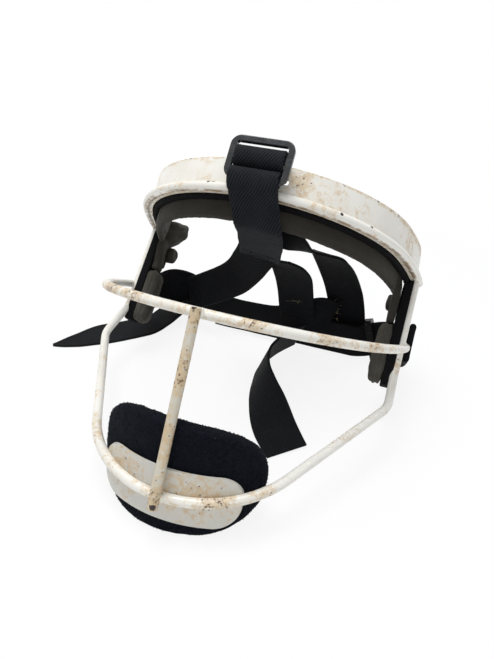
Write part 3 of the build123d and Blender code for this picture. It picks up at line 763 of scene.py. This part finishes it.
def blow_up(pads):
    """Fill all the covers at once; each point may move no further than its pad's cap."""
    starts = {}
    for piece, pressure, cap in pads:
        starts[piece.name] = spots_of(piece)
        cover = piece.modifiers.new("fill", "CLOTH")
        cover.settings.use_pressure = True
        cover.settings.uniform_pressure_force = pressure
        cover.settings.effector_weights.gravity = 0
        cover.point_cache.frame_start, cover.point_cache.frame_end = 1, fill_frames
    for number in range(1, fill_frames + 1):
        bpy.context.scene.frame_set(number)
    for piece, pressure, cap in pads:
        settled(piece)
        reach = cap * mm * cushion_scale
        kept = []
        for spot, start in zip(spots_of(piece), starts[piece.name]):
            moved = spot - start
            kept.extend(start + moved * min(1, reach / max(moved.length, reach / 100)))
        piece.data.vertices.foreach_set("co", kept)
        piece.data.update()
    bpy.context.scene.frame_set(1)


def pad_done(piece):
    """Back to true size, with one round of subdivision."""
    piece.data.transform(Matrix.Scale(1 / cushion_scale, 4))
    finer = piece.modifiers.new("finer", "SUBSURF")
    finer.levels = finer.render_levels = 1
    return settled(piece)


def side_reading(spot, hand):
    """How far a place is behind, above and outside a side wire, in millimetres."""
    upright = Matrix.Rotation(stand_lean, 3, "X") @ (spot - Vector((0, 0, stand_lift)))
    along, up = upright.y + side_forward, upright.z
    back = along * math.cos(side_lean) - up * math.sin(side_lean)
    rise = along * math.sin(side_lean) + up * math.cos(side_lean)
    return back / mm, rise / mm, (hand * spot.x - side_half_width) / mm


def groove(value, level, width):
    return math.exp(-(((value - level) / width) ** 2))


def shape_cushion(piece, hand):
    """Seams round the wall of a cheek cushion, and the channel down its face."""
    def push(spot, normal):
        back, up, out = side_reading(spot, hand)
        wall = 1 - normal.x**2
        depth = -out - lining_face
        dent = 0.5 * wall * (groove(depth, 2.4, 0.6) + 0.7 * groove(depth, 5.3, 0.5))
        dent += 0.8 * max(0, -hand * normal.x) ** 2 * groove(back, 1.4, 1.2)
        ruck = noise.noise(Vector((up / 5, depth / 9, 6.2 + hand)))
        return 0.3 * wall * groove(depth, 3.9, 0.9) - dent + 0.35 * ruck

    pushed(piece, push)


def step(value, low, high):
    """0 below the low value and 1 above the high one, with a soft step between."""
    t = max(0, min(1, (value - low) / (high - low)))
    return t * t * (3 - 2 * t)


def carried(piece, hand, move_of):
    """Move each point by what move_of says, in millimetres back, up and out, for where it reads."""
    origin = side_place(hand, 0, 0)
    steps = ((1, 0, 0), (0, 1, 0), (0, 0, 1))
    ways = [(side_place(hand, *way) - origin).normalized() for way in steps]
    moved = []
    for point in piece.data.vertices:
        shift = move_of(*side_reading(point.co, hand))
        moved.extend(point.co + sum((way * part * mm for way, part in zip(ways, shift)), Vector()))
    piece.data.vertices.foreach_set("co", moved)
    piece.data.update()


def shape_strip(piece, hand):
    """The side lining reaches up to the forehead's, with a sewn rib along its front edge."""
    def move(back, up, out):
        return (-3.2 * step(up, 18, 28) * step(back, 9, 5), 5.5 * step(up, 20, 31), 0)

    carried(piece, hand, move)

    def push(spot, normal):
        back, up, out = side_reading(spot, hand)
        depth = -out - lining_face
        return -0.3 * groove(depth, 1.2, 0.3) - 0.25 * groove(back, 2.2, 0.5)

    pushed(piece, push)


def shape_foam(piece, hand):
    """The side foam fills the space to its plate, and its top meets the forehead's foam."""
    def move(back, up, out):
        return (-0.3, 3.0 * step(up, 32, 39.5), 1.9 * step(out, -4.8, -3.6))

    carried(piece, hand, move)


def shape_lobe(piece, hand):
    """A lobe that hangs from the lining's end: wide above, drawn in and folded below."""
    rows = [side_reading(point.co, hand) for point in piece.data.vertices]
    low, high = min(row[1] for row in rows), max(row[1] for row in rows)
    face = max(row[2] for row in rows)
    middle = sum(row[0] for row in rows) / len(rows)

    def move(back, up, out):
        down = 1 - (up - low) / (high - low)
        drawn = 0.68 * step(down, 0.2, 1)
        away = (face + 2.0 - out) * drawn + 1.8 * (1 - down)
        return ((middle + 2.5 - back) * drawn * 0.7, -3.2 * step(down, 0.4, 1), away)

    carried(piece, hand, move)

    def push(spot, normal):
        back, up, out = side_reading(spot, hand)
        fold = math.sin((up * 0.75 - back * 0.5 + 2.5 * noise.noise(spot / (9 * mm))) * 0.75)
        return 0.45 * fold + 0.7 * noise.noise(spot / (6 * mm) + Vector((2.7, 0, 0)))

    pushed(piece, push)


def shape_lining(piece):
    """Small creases of the cover where it turns round the temples, and its lower seam."""
    def push(spot, normal):
        up = (spot - brow_origin).dot(brow_up) / mm
        turn = min(1, abs(spot.x) / (80 * mm))
        crease = noise.noise(Vector((spot.x / (14 * mm), up / 26, 3.3)))
        fold = noise.noise(Vector((spot.x / (6 * mm), up / 30, 8.1)))
        return -0.55 * crease * turn - 0.3 * fold * turn**3 - 0.35 * groove(up, -10.6, 0.8)

    pushed(piece, push)


def shape_lump(piece, hand):
    """A soft bump: its rim is drawn in, with loose folds."""
    carried(piece, hand, lambda back, up, out: (0, 0, 1.2 * step(-out, 9, 13)))
    pushed(piece, lambda spot, normal: 0.9 * noise.noise(spot / (6 * mm) + Vector((2.7, 0, 0))))


def chin_place(turn, height, reach):
    """A place on the chin pad, by its turn round the chin, its height and its reach."""
    foot = step(-height, 4, 22) * step(reach, chin_outer - 7, chin_outer) * math.cos(turn) ** 2
    axis_back = chin_reach * chin_back.y - chin_forward
    axis_up = chin_reach * chin_back.z - chin_drop
    axis = standing(0, axis_back, axis_up)
    up = (standing(*chin_up) - standing(0, 0, 0)).normalized()
    ahead = -(standing(*chin_back) - standing(0, 0, 0)).normalized()
    reach += foot_out * foot
    flat = ahead * (reach * math.cos(turn) * mm) + Vector((reach * math.sin(turn) * mm, 0, 0))
    spot = axis + flat + up * ((height - foot_down * foot) * mm)
    return Vector((spot.x, spot.y, max(spot.z, table_clear)))


def chin_blank(name):
    """The chin pad: one thick round of felt, curved with the chin and rounded at its rim."""
    half, middle = chin_thickness / 2, chin_outer - chin_thickness / 2
    shares = [k / chin_rings * (1 - chin_rim) for k in range(1, chin_rings + 1)]
    turns = [math.pi * k / chin_rim_steps for k in range(1, chin_rim_steps)]
    rows = [(share, half) for share in shares]
    rows += [(1 - chin_rim * (1 - math.sin(turn)), half * math.cos(turn)) for turn in turns]
    rows += [(share, -half) for share in reversed(shares)]
    work = bmesh.new()
    rings = []
    for share, depth in rows:
        ring = []
        for k in range(chin_segments):
            way = 2 * math.pi * k / chin_segments
            wide, tall = math.cos(way), math.sin(way)
            power = chin_power if tall > 0 else chin_foot_power
            size = (abs(wide) ** power + abs(tall) ** power) ** (-1 / power) * share
            height = chin_middle + tall * size * (chin_top if tall > 0 else chin_foot)
            spot = chin_place(wide * size * chin_half_turn, height, middle + depth)
            ring.append(work.verts.new(spot))
        rings.append(ring)
    for one, two in zip(rings, rings[1:]):
        for k in range(chin_segments):
            n = (k + 1) % chin_segments
            work.faces.new([one[k], one[n], two[n], two[k]])
    for ring, depth in ((rings[0], half), (rings[-1], -half)):
        centre = work.verts.new(chin_place(0, chin_middle, middle + depth))
        for k in range(chin_segments):
            work.faces.new([ring[k], ring[(k + 1) % chin_segments], centre])
    bmesh.ops.recalc_face_normals(work, faces=work.faces)
    mesh = bpy.data.meshes.new(name)
    work.to_mesh(mesh)
    work.free()
    mesh.transform(Matrix.Scale(cushion_scale, 4))
    return new_piece(name, mesh)


def shape_pile(piece):
    """The chin pad's face and rim wander a little."""
    def push(spot, normal):
        return 0.25 * noise.noise(spot / (5 * mm)) * step(spot.z / mm, 0.5, 4)

    pushed(piece, push)


lining_cover = padding_finish("lining_cover", linear(52, 50, 44))
cheek_cover = padding_finish("cheek_cover", linear(70, 67, 61), sheen=0.03)
black_foam = foam_finish("black_foam", linear(21, 21, 23))
chin_felt = felt_finish("chin_felt", linear(20, 24, 34))

# Name, node, voxel, inset and softening, then the pressure and the cap of its filling
filled_pads = [
    ("forehead_lining_pad", "forehead_lining", 1.5, 0.5, 4, 4, 0.9),
    ("temple_pad_left_lump", "temple_pad_left", 1.1, 0.5, 4, 5, 1.4),
    ("temple_pad_right_lump", "temple_pad_right", 1.1, 0.5, 4, 5, 1.4),
    ("ear_bump_left_pad", "ear_bump_left", 0.8, 0.3, 3, 4, 0.7),
    ("ear_bump_right_pad", "ear_bump_right", 0.8, 0.3, 3, 4, 0.7),
    ("cheek_cushion_left_pad", "cheek_cushion_left", 0.9, 0.5, 4, 5, 1.1),
    ("cheek_cushion_right_pad", "cheek_cushion_right", 0.9, 0.5, 4, 5, 1.1),
    ("side_lining_left_pad", "side_lining_left", 0.7, 0.2, 2, 3, 0.4),
    ("side_lining_right_pad", "side_lining_right", 0.7, 0.2, 2, 3, 0.4),
    ("chin_pad_felt", "chin_pad", 1.5, 0.4, 2, 4, 0.7),
]
foam_pads = [
    ("forehead_foam_strip", "forehead_foam", 1.1, 0.05, 2),
    ("side_foam_left_strip", "side_foam_left", 0.8, 0.05, 2),
    ("side_foam_right_strip", "side_foam_right", 0.8, 0.05, 2),
    ("chin_hook_strip_sheet", "chin_hook_strip", 0.45, 0.0, 1),
]


def build_padding():
    pads = {}
    jobs = []
    for name, node, voxel, inset, soften, pressure, cap in filled_pads:
        if node == "chin_pad":
            piece = chin_blank(name)
        else:
            piece = pad_blank(name, node, voxel, inset, soften)
        pads[node] = piece
        jobs.append((piece, pressure, cap))
    blow_up(jobs)
    for node, piece in pads.items():
        pad_done(piece)
        hand = -1 if "left" in node else 1
        cover = cheek_cover if "cheek" in node else lining_cover
        slot = "lining"
        if "cushion" in node:
            shape_cushion(piece, hand)
        elif "side_lining" in node:
            shape_strip(piece, hand)
        elif node == "forehead_lining":
            shape_lining(piece)
        elif node == "chin_pad":
            shape_pile(piece)
            cover, slot = chin_felt, "felt"
        elif "temple" in node:
            shape_lobe(piece, hand)
        else:
            shape_lump(piece, hand)
        finish_piece(piece, cover, slot, "guard", node)
    for name, node, voxel, inset, soften in foam_pads:
        piece = pad_blank(name, node, voxel, inset, soften)
        piece.data.transform(Matrix.Scale(1 / cushion_scale, 4))
        if "side" in node:
            shape_foam(piece, -1 if "left" in node else 1)
        slot = "hook_strip" if "hook" in node else "foam"
        finish_piece(piece, black_foam, slot, "guard", node)
    return pads


pads = build_padding()


# ---------------------------------------------------------------- threads and pile


def new_tree(name, inputs):
    tree = bpy.data.node_groups.new(name, "GeometryNodeTree")
    tree.interface.new_socket("Geometry", in_out="INPUT", socket_type="NodeSocketGeometry")
    for label, kind, value in inputs:
        socket = tree.interface.new_socket(label, in_out="INPUT", socket_type=f"NodeSocket{kind}")
        if value is not None:
            socket.default_value = value
    tree.interface.new_socket("Geometry", in_out="OUTPUT", socket_type="NodeSocketGeometry")
    return tree, tree.nodes.new("NodeGroupInput"), tree.nodes.new("NodeGroupOutput")


def tree_node(tree, kind, sockets, **settings):
    made = tree.nodes.new(kind)
    for label, value in settings.items():
        setattr(made, label, value)
    for label, value in sockets.items():
        if isinstance(value, bpy.types.NodeSocket):
            tree.links.new(value, made.inputs[label])
        else:
            made.inputs[label].default_value = value
    return made


def stitching_tree():
    """Short threads laid end to end along the edges of a mesh."""
    tree, given, result = new_tree("stitching", [
        ("Pitch", "Float", 2.4 * mm), ("Length", "Float", 1.9 * mm),
        ("Thread", "Float", 0.38 * mm), ("Finish", "Material", None),
    ])
    seam = tree_node(tree, "GeometryNodeMeshToCurve", {"Mesh": given.outputs["Geometry"]})
    points = tree_node(
        tree, "GeometryNodeCurveToPoints",
        {"Curve": seam.outputs["Curve"], "Length": given.outputs["Pitch"]}, mode="LENGTH",
    )
    turn = tree_node(
        tree, "FunctionNodeAlignRotationToVector", {"Vector": points.outputs["Tangent"]}, axis="Z"
    )
    size = tree_node(tree, "ShaderNodeCombineXYZ", {
        "X": given.outputs["Thread"], "Y": given.outputs["Thread"], "Z": given.outputs["Length"],
    })
    thread = tree_node(tree, "GeometryNodeMeshUVSphere", {"Segments": 8, "Rings": 6, "Radius": 0.5})
    laid = tree_node(tree, "GeometryNodeInstanceOnPoints", {
        "Points": points.outputs["Points"], "Instance": thread.outputs["Mesh"],
        "Rotation": turn.outputs["Rotation"], "Scale": size.outputs["Vector"],
    })
    real = tree_node(tree, "GeometryNodeRealizeInstances", {"Geometry": laid.outputs["Instances"]})
    done = tree_node(tree, "GeometryNodeSetMaterial", {
        "Geometry": real.outputs["Geometry"], "Material": given.outputs["Finish"],
    })
    tree.links.new(done.outputs["Geometry"], result.inputs["Geometry"])
    return tree


def pile_tree():
    """Small loops of fibre standing all over a surface."""
    tree, given, result = new_tree("pile", [
        ("Density", "Float", 360000.0), ("Loop Radius", "Float", 0.3 * mm),
        ("Fibre", "Float", 0.09 * mm), ("Seed", "Int", 5), ("Finish", "Material", None),
    ])
    points = tree_node(tree, "GeometryNodeDistributePointsOnFaces", {
        "Mesh": given.outputs["Geometry"], "Density": given.outputs["Density"],
        "Seed": given.outputs["Seed"],
    })
    lean = tree_node(
        tree, "FunctionNodeRandomValue",
        {0: (-0.9, -0.9, 0), 1: (0.9, 0.9, 2 * math.pi), "Seed": 11}, data_type="FLOAT_VECTOR",
    )
    twist = tree_node(tree, "FunctionNodeEulerToRotation", {"Euler": lean.outputs[0]})
    turn = tree_node(tree, "FunctionNodeRotateRotation", {
        "Rotation": points.outputs["Rotation"], "Rotate By": twist.outputs["Rotation"],
    }, rotation_space="LOCAL")
    ring = tree_node(tree, "GeometryNodeCurveArc", {
        "Resolution": 6, "Radius": given.outputs["Loop Radius"], "Sweep Angle": math.radians(250),
        "Start Angle": math.radians(-35),
    })
    upright = tree_node(tree, "GeometryNodeTransform", {
        "Geometry": ring.outputs["Curve"], "Rotation": (math.radians(90), 0, 0),
    })
    section = tree_node(tree, "GeometryNodeCurvePrimitiveCircle", {
        "Resolution": 3, "Radius": given.outputs["Fibre"],
    })
    loop = tree_node(tree, "GeometryNodeCurveToMesh", {
        "Curve": upright.outputs["Geometry"], "Profile Curve": section.outputs["Curve"],
    })
    size = tree_node(
        tree, "FunctionNodeRandomValue", {2: 0.6, 3: 1.35, "Seed": 23}, data_type="FLOAT"
    )
    laid = tree_node(tree, "GeometryNodeInstanceOnPoints", {
        "Points": points.outputs["Points"], "Instance": loop.outputs["Mesh"],
        "Rotation": turn.outputs["Rotation"], "Scale": size.outputs[1],
    })
    real = tree_node(tree, "GeometryNodeRealizeInstances", {"Geometry": laid.outputs["Instances"]})
    done = tree_node(tree, "GeometryNodeSetMaterial", {
        "Geometry": real.outputs["Geometry"], "Material": given.outputs["Finish"],
    })
    tree.links.new(done.outputs["Geometry"], result.inputs["Geometry"])
    return tree


def grown(name, mesh, tree, material, **sizes):
    """A piece made by a tree of geometry nodes from a mesh, with the tree's sizes set by name."""
    piece = new_piece(name, mesh)
    maker = piece.modifiers.new("maker", "NODES")
    maker.node_group = tree
    sockets = [item for item in tree.interface.items_tree if item.in_out == "INPUT"]
    keys = {socket.name: socket.identifier for socket in sockets}
    maker[keys["Finish"]] = material
    for label, value in sizes.items():
        maker[keys[label.replace("_", " ")]] = value
    return settled(piece)


def thread_lines(name, lines):
    """A mesh of bare edges, one chain of them for each line of places."""
    mesh = bpy.data.meshes.new(name)
    spots, edges = [], []
    for line in lines:
        edges += [(len(spots) + i, len(spots) + i + 1) for i in range(len(line) - 1)]
        spots += line
    mesh.from_pydata(spots, edges, [])
    return mesh


def on_strap(frames, along, across, lift=0.15 * mm, side=1):
    """A place on a strap, by its share of the length, its share of the half width and its face."""
    at = max(0, min(along, 1)) * (len(frames) - 1)
    i = min(int(at), len(frames) - 2)
    t = at - i
    (c1, a1, f1, h1), (c2, a2, f2, h2) = frames[i], frames[i + 1]
    centre, width = c1.lerp(c2, t), a1.lerp(a2, t) * (h1 + (h2 - h1) * t)
    return centre + width * across + f1.lerp(f2, t) * side * (webbing_thickness / 2 + lift)


def strap_line(frames, start, end, steps=24, side=1):
    """A line of places on a strap between two (along, across) pairs."""
    line = []
    for step in range(steps + 1):
        t = step / steps
        along, across = start[0] + (end[0] - start[0]) * t, start[1] + (end[1] - start[1]) * t
        line.append(on_strap(frames, along, across, side=side))
    return line


def box_stitch(frames, low, high, reach=0.78, side=1):
    """A sewn box with its cross, between two shares of a strap's length."""
    corners = [(low, -reach), (low, reach), (high, reach), (high, -reach)]
    lines = [strap_line(frames, corners[i], corners[(i + 1) % 4], side=side) for i in range(4)]
    lines.append(strap_line(frames, corners[0], corners[2], side=side))
    return lines + [strap_line(frames, corners[1], corners[3], side=side)]


stitching, pile = stitching_tree(), pile_tree()
thread_look = {"grain": 0.3, "relief": 0.03, "roughness": 0.6}
black_thread = padding_finish("black_thread", linear(19, 20, 23), **thread_look)
grey_thread = padding_finish("grey_thread", linear(96, 92, 84), **thread_look)


def sew(name, lines, material, **sizes):
    """Thread laid along the lines, on the guard."""
    piece = grown(name, thread_lines(name, lines), stitching, material, **sizes)
    finish_piece(piece, material, "webbing", "guard")


def cross_lines(frames, shares, reach):
    """Lines straight across a strap at the given shares of its length."""
    return [strap_line(frames, (share, -reach), (share, reach)) for share in shares]


sew("harness_stitching", (
    box_stitch(laid["yoke_left"], 0.84, 0.99)
    + box_stitch(laid["yoke_right"], 0.84, 0.98, side=-1)
    + box_stitch(laid["top_strap"], 0.93, 0.995)
    + cross_lines(laid["twisted_strap"], (0.93, 0.95), 0.85)
    + cross_lines(laid["rear_strap"], (0.06, 0.075, 0.925, 0.94), 0.8)
), black_thread)
sew("bar_tack", [
    strap_line(laid["yoke_right"], (0.775, -0.55), (0.765, 0.35), side=side) for side in (-1, 1)
], grey_thread, Pitch=0.55 * mm, Length=0.6 * mm, Thread=0.3 * mm)


def stray_fibres(frames, count, seed, along, across):
    """Fibres that wander over a strap, between two shares of its length and of its half width."""
    chance = random.Random(seed)
    lines = []
    for _ in range(count):
        at, beside = chance.uniform(*along), chance.uniform(*across)
        heading, line = chance.uniform(0, 2 * math.pi), []
        for _ in range(chance.randint(4, 9)):
            line.append(on_strap(frames, at, beside, lift=chance.uniform(0.1, 0.5) * mm))
            heading += chance.uniform(-0.9, 0.9)
            at += 0.006 * math.cos(heading)
            beside += 0.05 * math.sin(heading)
        lines.append(line)
    return lines


lint = padding_finish("lint", linear(168, 156, 128), grain=0.3, relief=0.02, roughness=0.9)
sew("lint_fibres", (
    stray_fibres(laid["twisted_strap"], 16, 4, (0.78, 0.86), (-0.95, -0.55))
    + stray_fibres(laid["twisted_strap"], 10, 5, (0.85, 0.91), (-0.8, -0.45))
    + stray_fibres(laid["rear_strap"], 5, 6, (0.50, 0.56), (0.1, 0.7))
    + stray_fibres(laid["yoke_right"], 2, 8, (0.74, 0.76), (0.05, 0.2))
), lint, Pitch=0.28 * mm, Length=0.36 * mm, Thread=0.13 * mm)

tufts = grown("chin_pad_pile", pads["chin_pad"].data.copy(), pile, chin_felt)
finish_piece(tufts, chin_felt, "felt", "guard")


# ---------------------------------------------------------------- steel and plastic

# Stains on the enamel by their place, reach and strength, and chips by place and size
bar_stains = [(standing(-54, -94, 0), 0.022, 1.0), (standing(-38, -109, 0), 0.018, 0.9),
              (standing(-82, -52, 0), 0.016, 0.6), (standing(24, -115, 0), 0.013, 0.9),
              (standing(57, -97, 0), 0.014, 0.9), (standing(77, -71, 0), 0.014, 0.9)]
post_stains = [(standing(0, -122, 0), 0.014, 1.0), (standing(0, -123, -26), 0.02, 1.0),
               (standing(0, -123, -58), 0.02, 0.8), (standing(0, -124, -86), 0.016, 1.0)]
jaw_stains = [(standing(27, -114, -82), 0.016, 1.0), (standing(44, -103, -76), 0.012, 0.6),
              (standing(-2, -118, -84), 0.010, 0.8), (standing(-48, -100, -74), 0.014, 0.6),
              (standing(91, -8, -12), 0.012, 0.7), (standing(-91, -8, -12), 0.012, 0.7)]
plate_stains = [(standing(14, -114, -82), 0.022, 0.7), (standing(-22, -112, -80), 0.018, 0.6)]
band_stains = [(standing(24, -77, 71), 0.012, 0.9), (standing(-72, -38, 62), 0.02, 0.5),
               (standing(84, -20, 60), 0.016, 0.6)]
rise = (tuple(brow_up), tuple(brow_origin))
band_seams = [(*rise, 5.4 * mm, 2.4 * mm, 0.7), (*rise, 15.2 * mm, 17.6 * mm, 0.8)]
band_lines = [(*rise, 2.7 * mm, 0.9 * mm, 0.6)]
# The first rim line is dirt in the wire's join with the band; the second darkens the underside of
# the wire brown, along the band's lower edge.
rim_lines = [(*rise, 2.3 * mm, 0.5 * mm, 0.6), (*rise, -2.45 * mm, 0.45 * mm, 0.9)]
rim_chips = [(standing(-21.4, -83.6, 63.4), 1.2 * mm), (standing(-18.6, -84.2, 63.8), 1.0 * mm),
             (standing(46.5, -74.3, 60.3), 0.9 * mm), (standing(61.2, -62.7, 58.6), 0.8 * mm)]
band_enamel = enamel("band_enamel", 0.3, band_seams, band_stains, lines=band_lines)
rim_enamel = enamel("rim_enamel", 0.35, chips=rim_chips, lines=rim_lines)
bar_enamel = enamel("bar_enamel", 0.5, stains=bar_stains)
post_chips = [(standing(-0.4, -122.5, 2.6), 1.2 * mm), (standing(0.8, -123.5, -88.2), 1.5 * mm)]
# The post and the chin plate are the same white enamel as the rest, painted greyer: painted shade
# where they face away from the overhead light.
post_shaded_colour, plate_shaded_colour = linear(206, 201, 187), linear(208, 206, 199)
post_enamel_shaded = enamel("post_enamel_shaded", 0.7, (), post_stains, post_chips, colour=post_shaded_colour)
jaw_enamel = enamel("jaw_enamel", 0.3, stains=jaw_stains)
plate_enamel_shaded = enamel("plate_enamel_shaded", 0.4, stains=plate_stains, colour=plate_shaded_colour)
buckle_plastic = moulded_finish("buckle_plastic", linear(24, 27, 32), 0.24)
keeper_plastic = moulded_finish("keeper_plastic", linear(8, 8, 10), 0.3, 0.1)

node_finishes = {
    "rim_wire": rim_enamel, "forehead_band": band_enamel, "jaw_wire": jaw_enamel,
    "cheek_bar": bar_enamel, "centre_bar": post_enamel_shaded, "chin_plate": plate_enamel_shaded,
    "side_plate_left": jaw_enamel, "side_plate_right": jaw_enamel,
    "top_buckle": buckle_plastic, "strap_keeper": keeper_plastic,
}
for node, material in node_finishes.items():
    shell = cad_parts[node].data
    shell.materials.clear()
    shell.materials.append(material)

# Weld beads: places on the upright steel in millimetres, and how far each one spreads
weld_spots = [
    ((-2.1, -117.6, 0.2), (1.3, 1.5, 2.6)), ((2.1, -117.6, 0.2), (1.3, 1.5, 2.6)),
    ((-2.2, -119.4, -85.3), (1.6, 1.6, 2.2)), ((2.2, -119.4, -85.3), (1.6, 1.6, 2.2)),
    ((93.4, -7.2, 0), (1.6, 1.8, 2.2)), ((-93.4, -7.2, 0), (1.6, 1.8, 2.2)),
    ((93.2, -3.6, 1.6), (1.5, 1.8, 2.0)), ((-93.2, -3.6, 1.6), (1.5, 1.8, 2.0)),
    ((91, -8.2, -15), (2.2, 3.0, 3.6)), ((-91, -8.2, -15), (2.2, 3.0, 3.6)),
]
weld_ripple, weld_ripple_size = 0.35 * mm, 1.8 * mm


def build_welds():
    """Lumps of weld where the wires meet, under the same enamel."""
    work = bmesh.new()
    turn = Matrix.Rotation(-stand_lean, 4, "X")
    for spot, spread in weld_spots:
        size = Matrix.Diagonal((*[part * mm for part in spread], 1))
        place = Matrix.Translation(standing(*spot)) @ turn @ size
        made = bmesh.ops.create_icosphere(work, subdivisions=4, radius=1)
        bmesh.ops.transform(work, verts=made["verts"], matrix=place)
    for point in work.verts:
        point.co += point.normal * weld_ripple * noise.noise(point.co / weld_ripple_size)
    mesh = bpy.data.meshes.new("weld_beads")
    work.to_mesh(mesh)
    work.free()
    return new_piece("weld_beads", mesh)


finish_piece(build_welds(), jaw_enamel, "white_enamel", "guard")


# ---------------------------------------------------------------- stage and camera


def softbox(name, place, target, size, power, colour=(1, 1, 1)):
    lamp = bpy.data.lights.new(name, "AREA")
    lamp.shape, lamp.size, lamp.energy, lamp.color = "DISK", size, power, colour
    holder = bpy.data.objects.new(name, lamp)
    holder.location = place
    aim = Vector(target) - Vector(place)
    holder.rotation_euler = aim.to_track_quat("-Z", "Y").to_euler()
    bpy.context.scene.collection.objects.link(holder)


def seen_directly(tree):
    """1 for what the camera sees, itself, in gloss or through something clear."""
    path = tree.nodes.new("ShaderNodeLightPath")
    total = path.outputs["Is Camera Ray"]
    for label in ("Is Glossy Ray", "Is Transmission Ray"):
        both = tree.nodes.new("ShaderNodeMath")
        both.operation = "MAXIMUM"
        tree.links.new(total, both.inputs[0])
        tree.links.new(path.outputs[label], both.inputs[1])
        total = both.outputs[0]
    return total


def set_stage():
    """A pale table that keeps the guard's shadow, in soft even room light."""
    world = bpy.data.worlds.new("studio")
    bpy.context.scene.world = world
    world.use_nodes = True
    tree = world.node_tree
    tree.nodes.clear()
    room, backdrop = tree.nodes.new("ShaderNodeBackground"), tree.nodes.new("ShaderNodeBackground")
    room.inputs["Color"].default_value = (0.96, 0.98, 1, 1)
    room.inputs["Strength"].default_value = room_light
    backdrop.inputs["Color"].default_value = (1, 1, 1, 1)
    choose, out = tree.nodes.new("ShaderNodeMixShader"), tree.nodes.new("ShaderNodeOutputWorld")
    tree.links.new(seen_directly(tree), choose.inputs[0])
    tree.links.new(room.outputs[0], choose.inputs[1])
    tree.links.new(backdrop.outputs[0], choose.inputs[2])
    tree.links.new(choose.outputs[0], out.inputs["Surface"])

    table = bpy.data.meshes.new("table")
    work = bmesh.new()
    bmesh.ops.create_circle(work, cap_ends=True, segments=96, radius=table_reach)
    work.to_mesh(table)
    work.free()
    floor = new_piece("table", table)
    coat = Finish("table_top", 0.6, specular=0.1)
    away = coat.node("ShaderNodeVectorMath", {0: coat.place}, out="Value", operation="LENGTH")
    mottle = coat.between(coat.clouds(0.3), 0.3, 0.7)
    coat.done(coat.mix(mottle, linear(247, 247, 247), linear(249, 249, 249)))
    glow = coat.node("ShaderNodeEmission", {"Color": (1, 1, 1, 1), "Strength": 1})
    open_table = coat.maths("MAXIMUM", coat.between(away, 0.1, 0.4), table_glow)
    far = coat.product(open_table, seen_directly(coat.tree))
    shaders = {0: far, 1: coat.shader.outputs[0], 2: glow}
    both = coat.node("ShaderNodeMixShader", shaders)
    coat.tree.links.new(both, coat.tree.nodes["Material Output"].inputs["Surface"])
    floor.data.materials.append(coat.material)


room_light = 0.42
table_reach = 6.0
table_glow = 0.86
set_stage()
softbox("overhead", (-0.25, 0.05, 1.25), (0, 0, 0.08), 0.7, 11.5)
softbox("front", (0.35, -1.2, 0.75), (0, -0.05, 0.07), 0.8, 2.4)

camera_place = (0.07796, -0.27551, 0.21054)
camera_turn = (57.1548, -3.5213, 19.8049)
lens = bpy.data.cameras.new("camera")
lens.lens = 27.35
lens.sensor_width = 36
lens.clip_start = 0.01
camera = bpy.data.objects.new("camera", lens)
camera.location = camera_place
camera.rotation_euler = [math.radians(turn) for turn in camera_turn]
bpy.context.scene.collection.objects.link(camera)
bpy.context.scene.camera = camera
bpy.context.scene.view_settings.view_transform = "Standard"
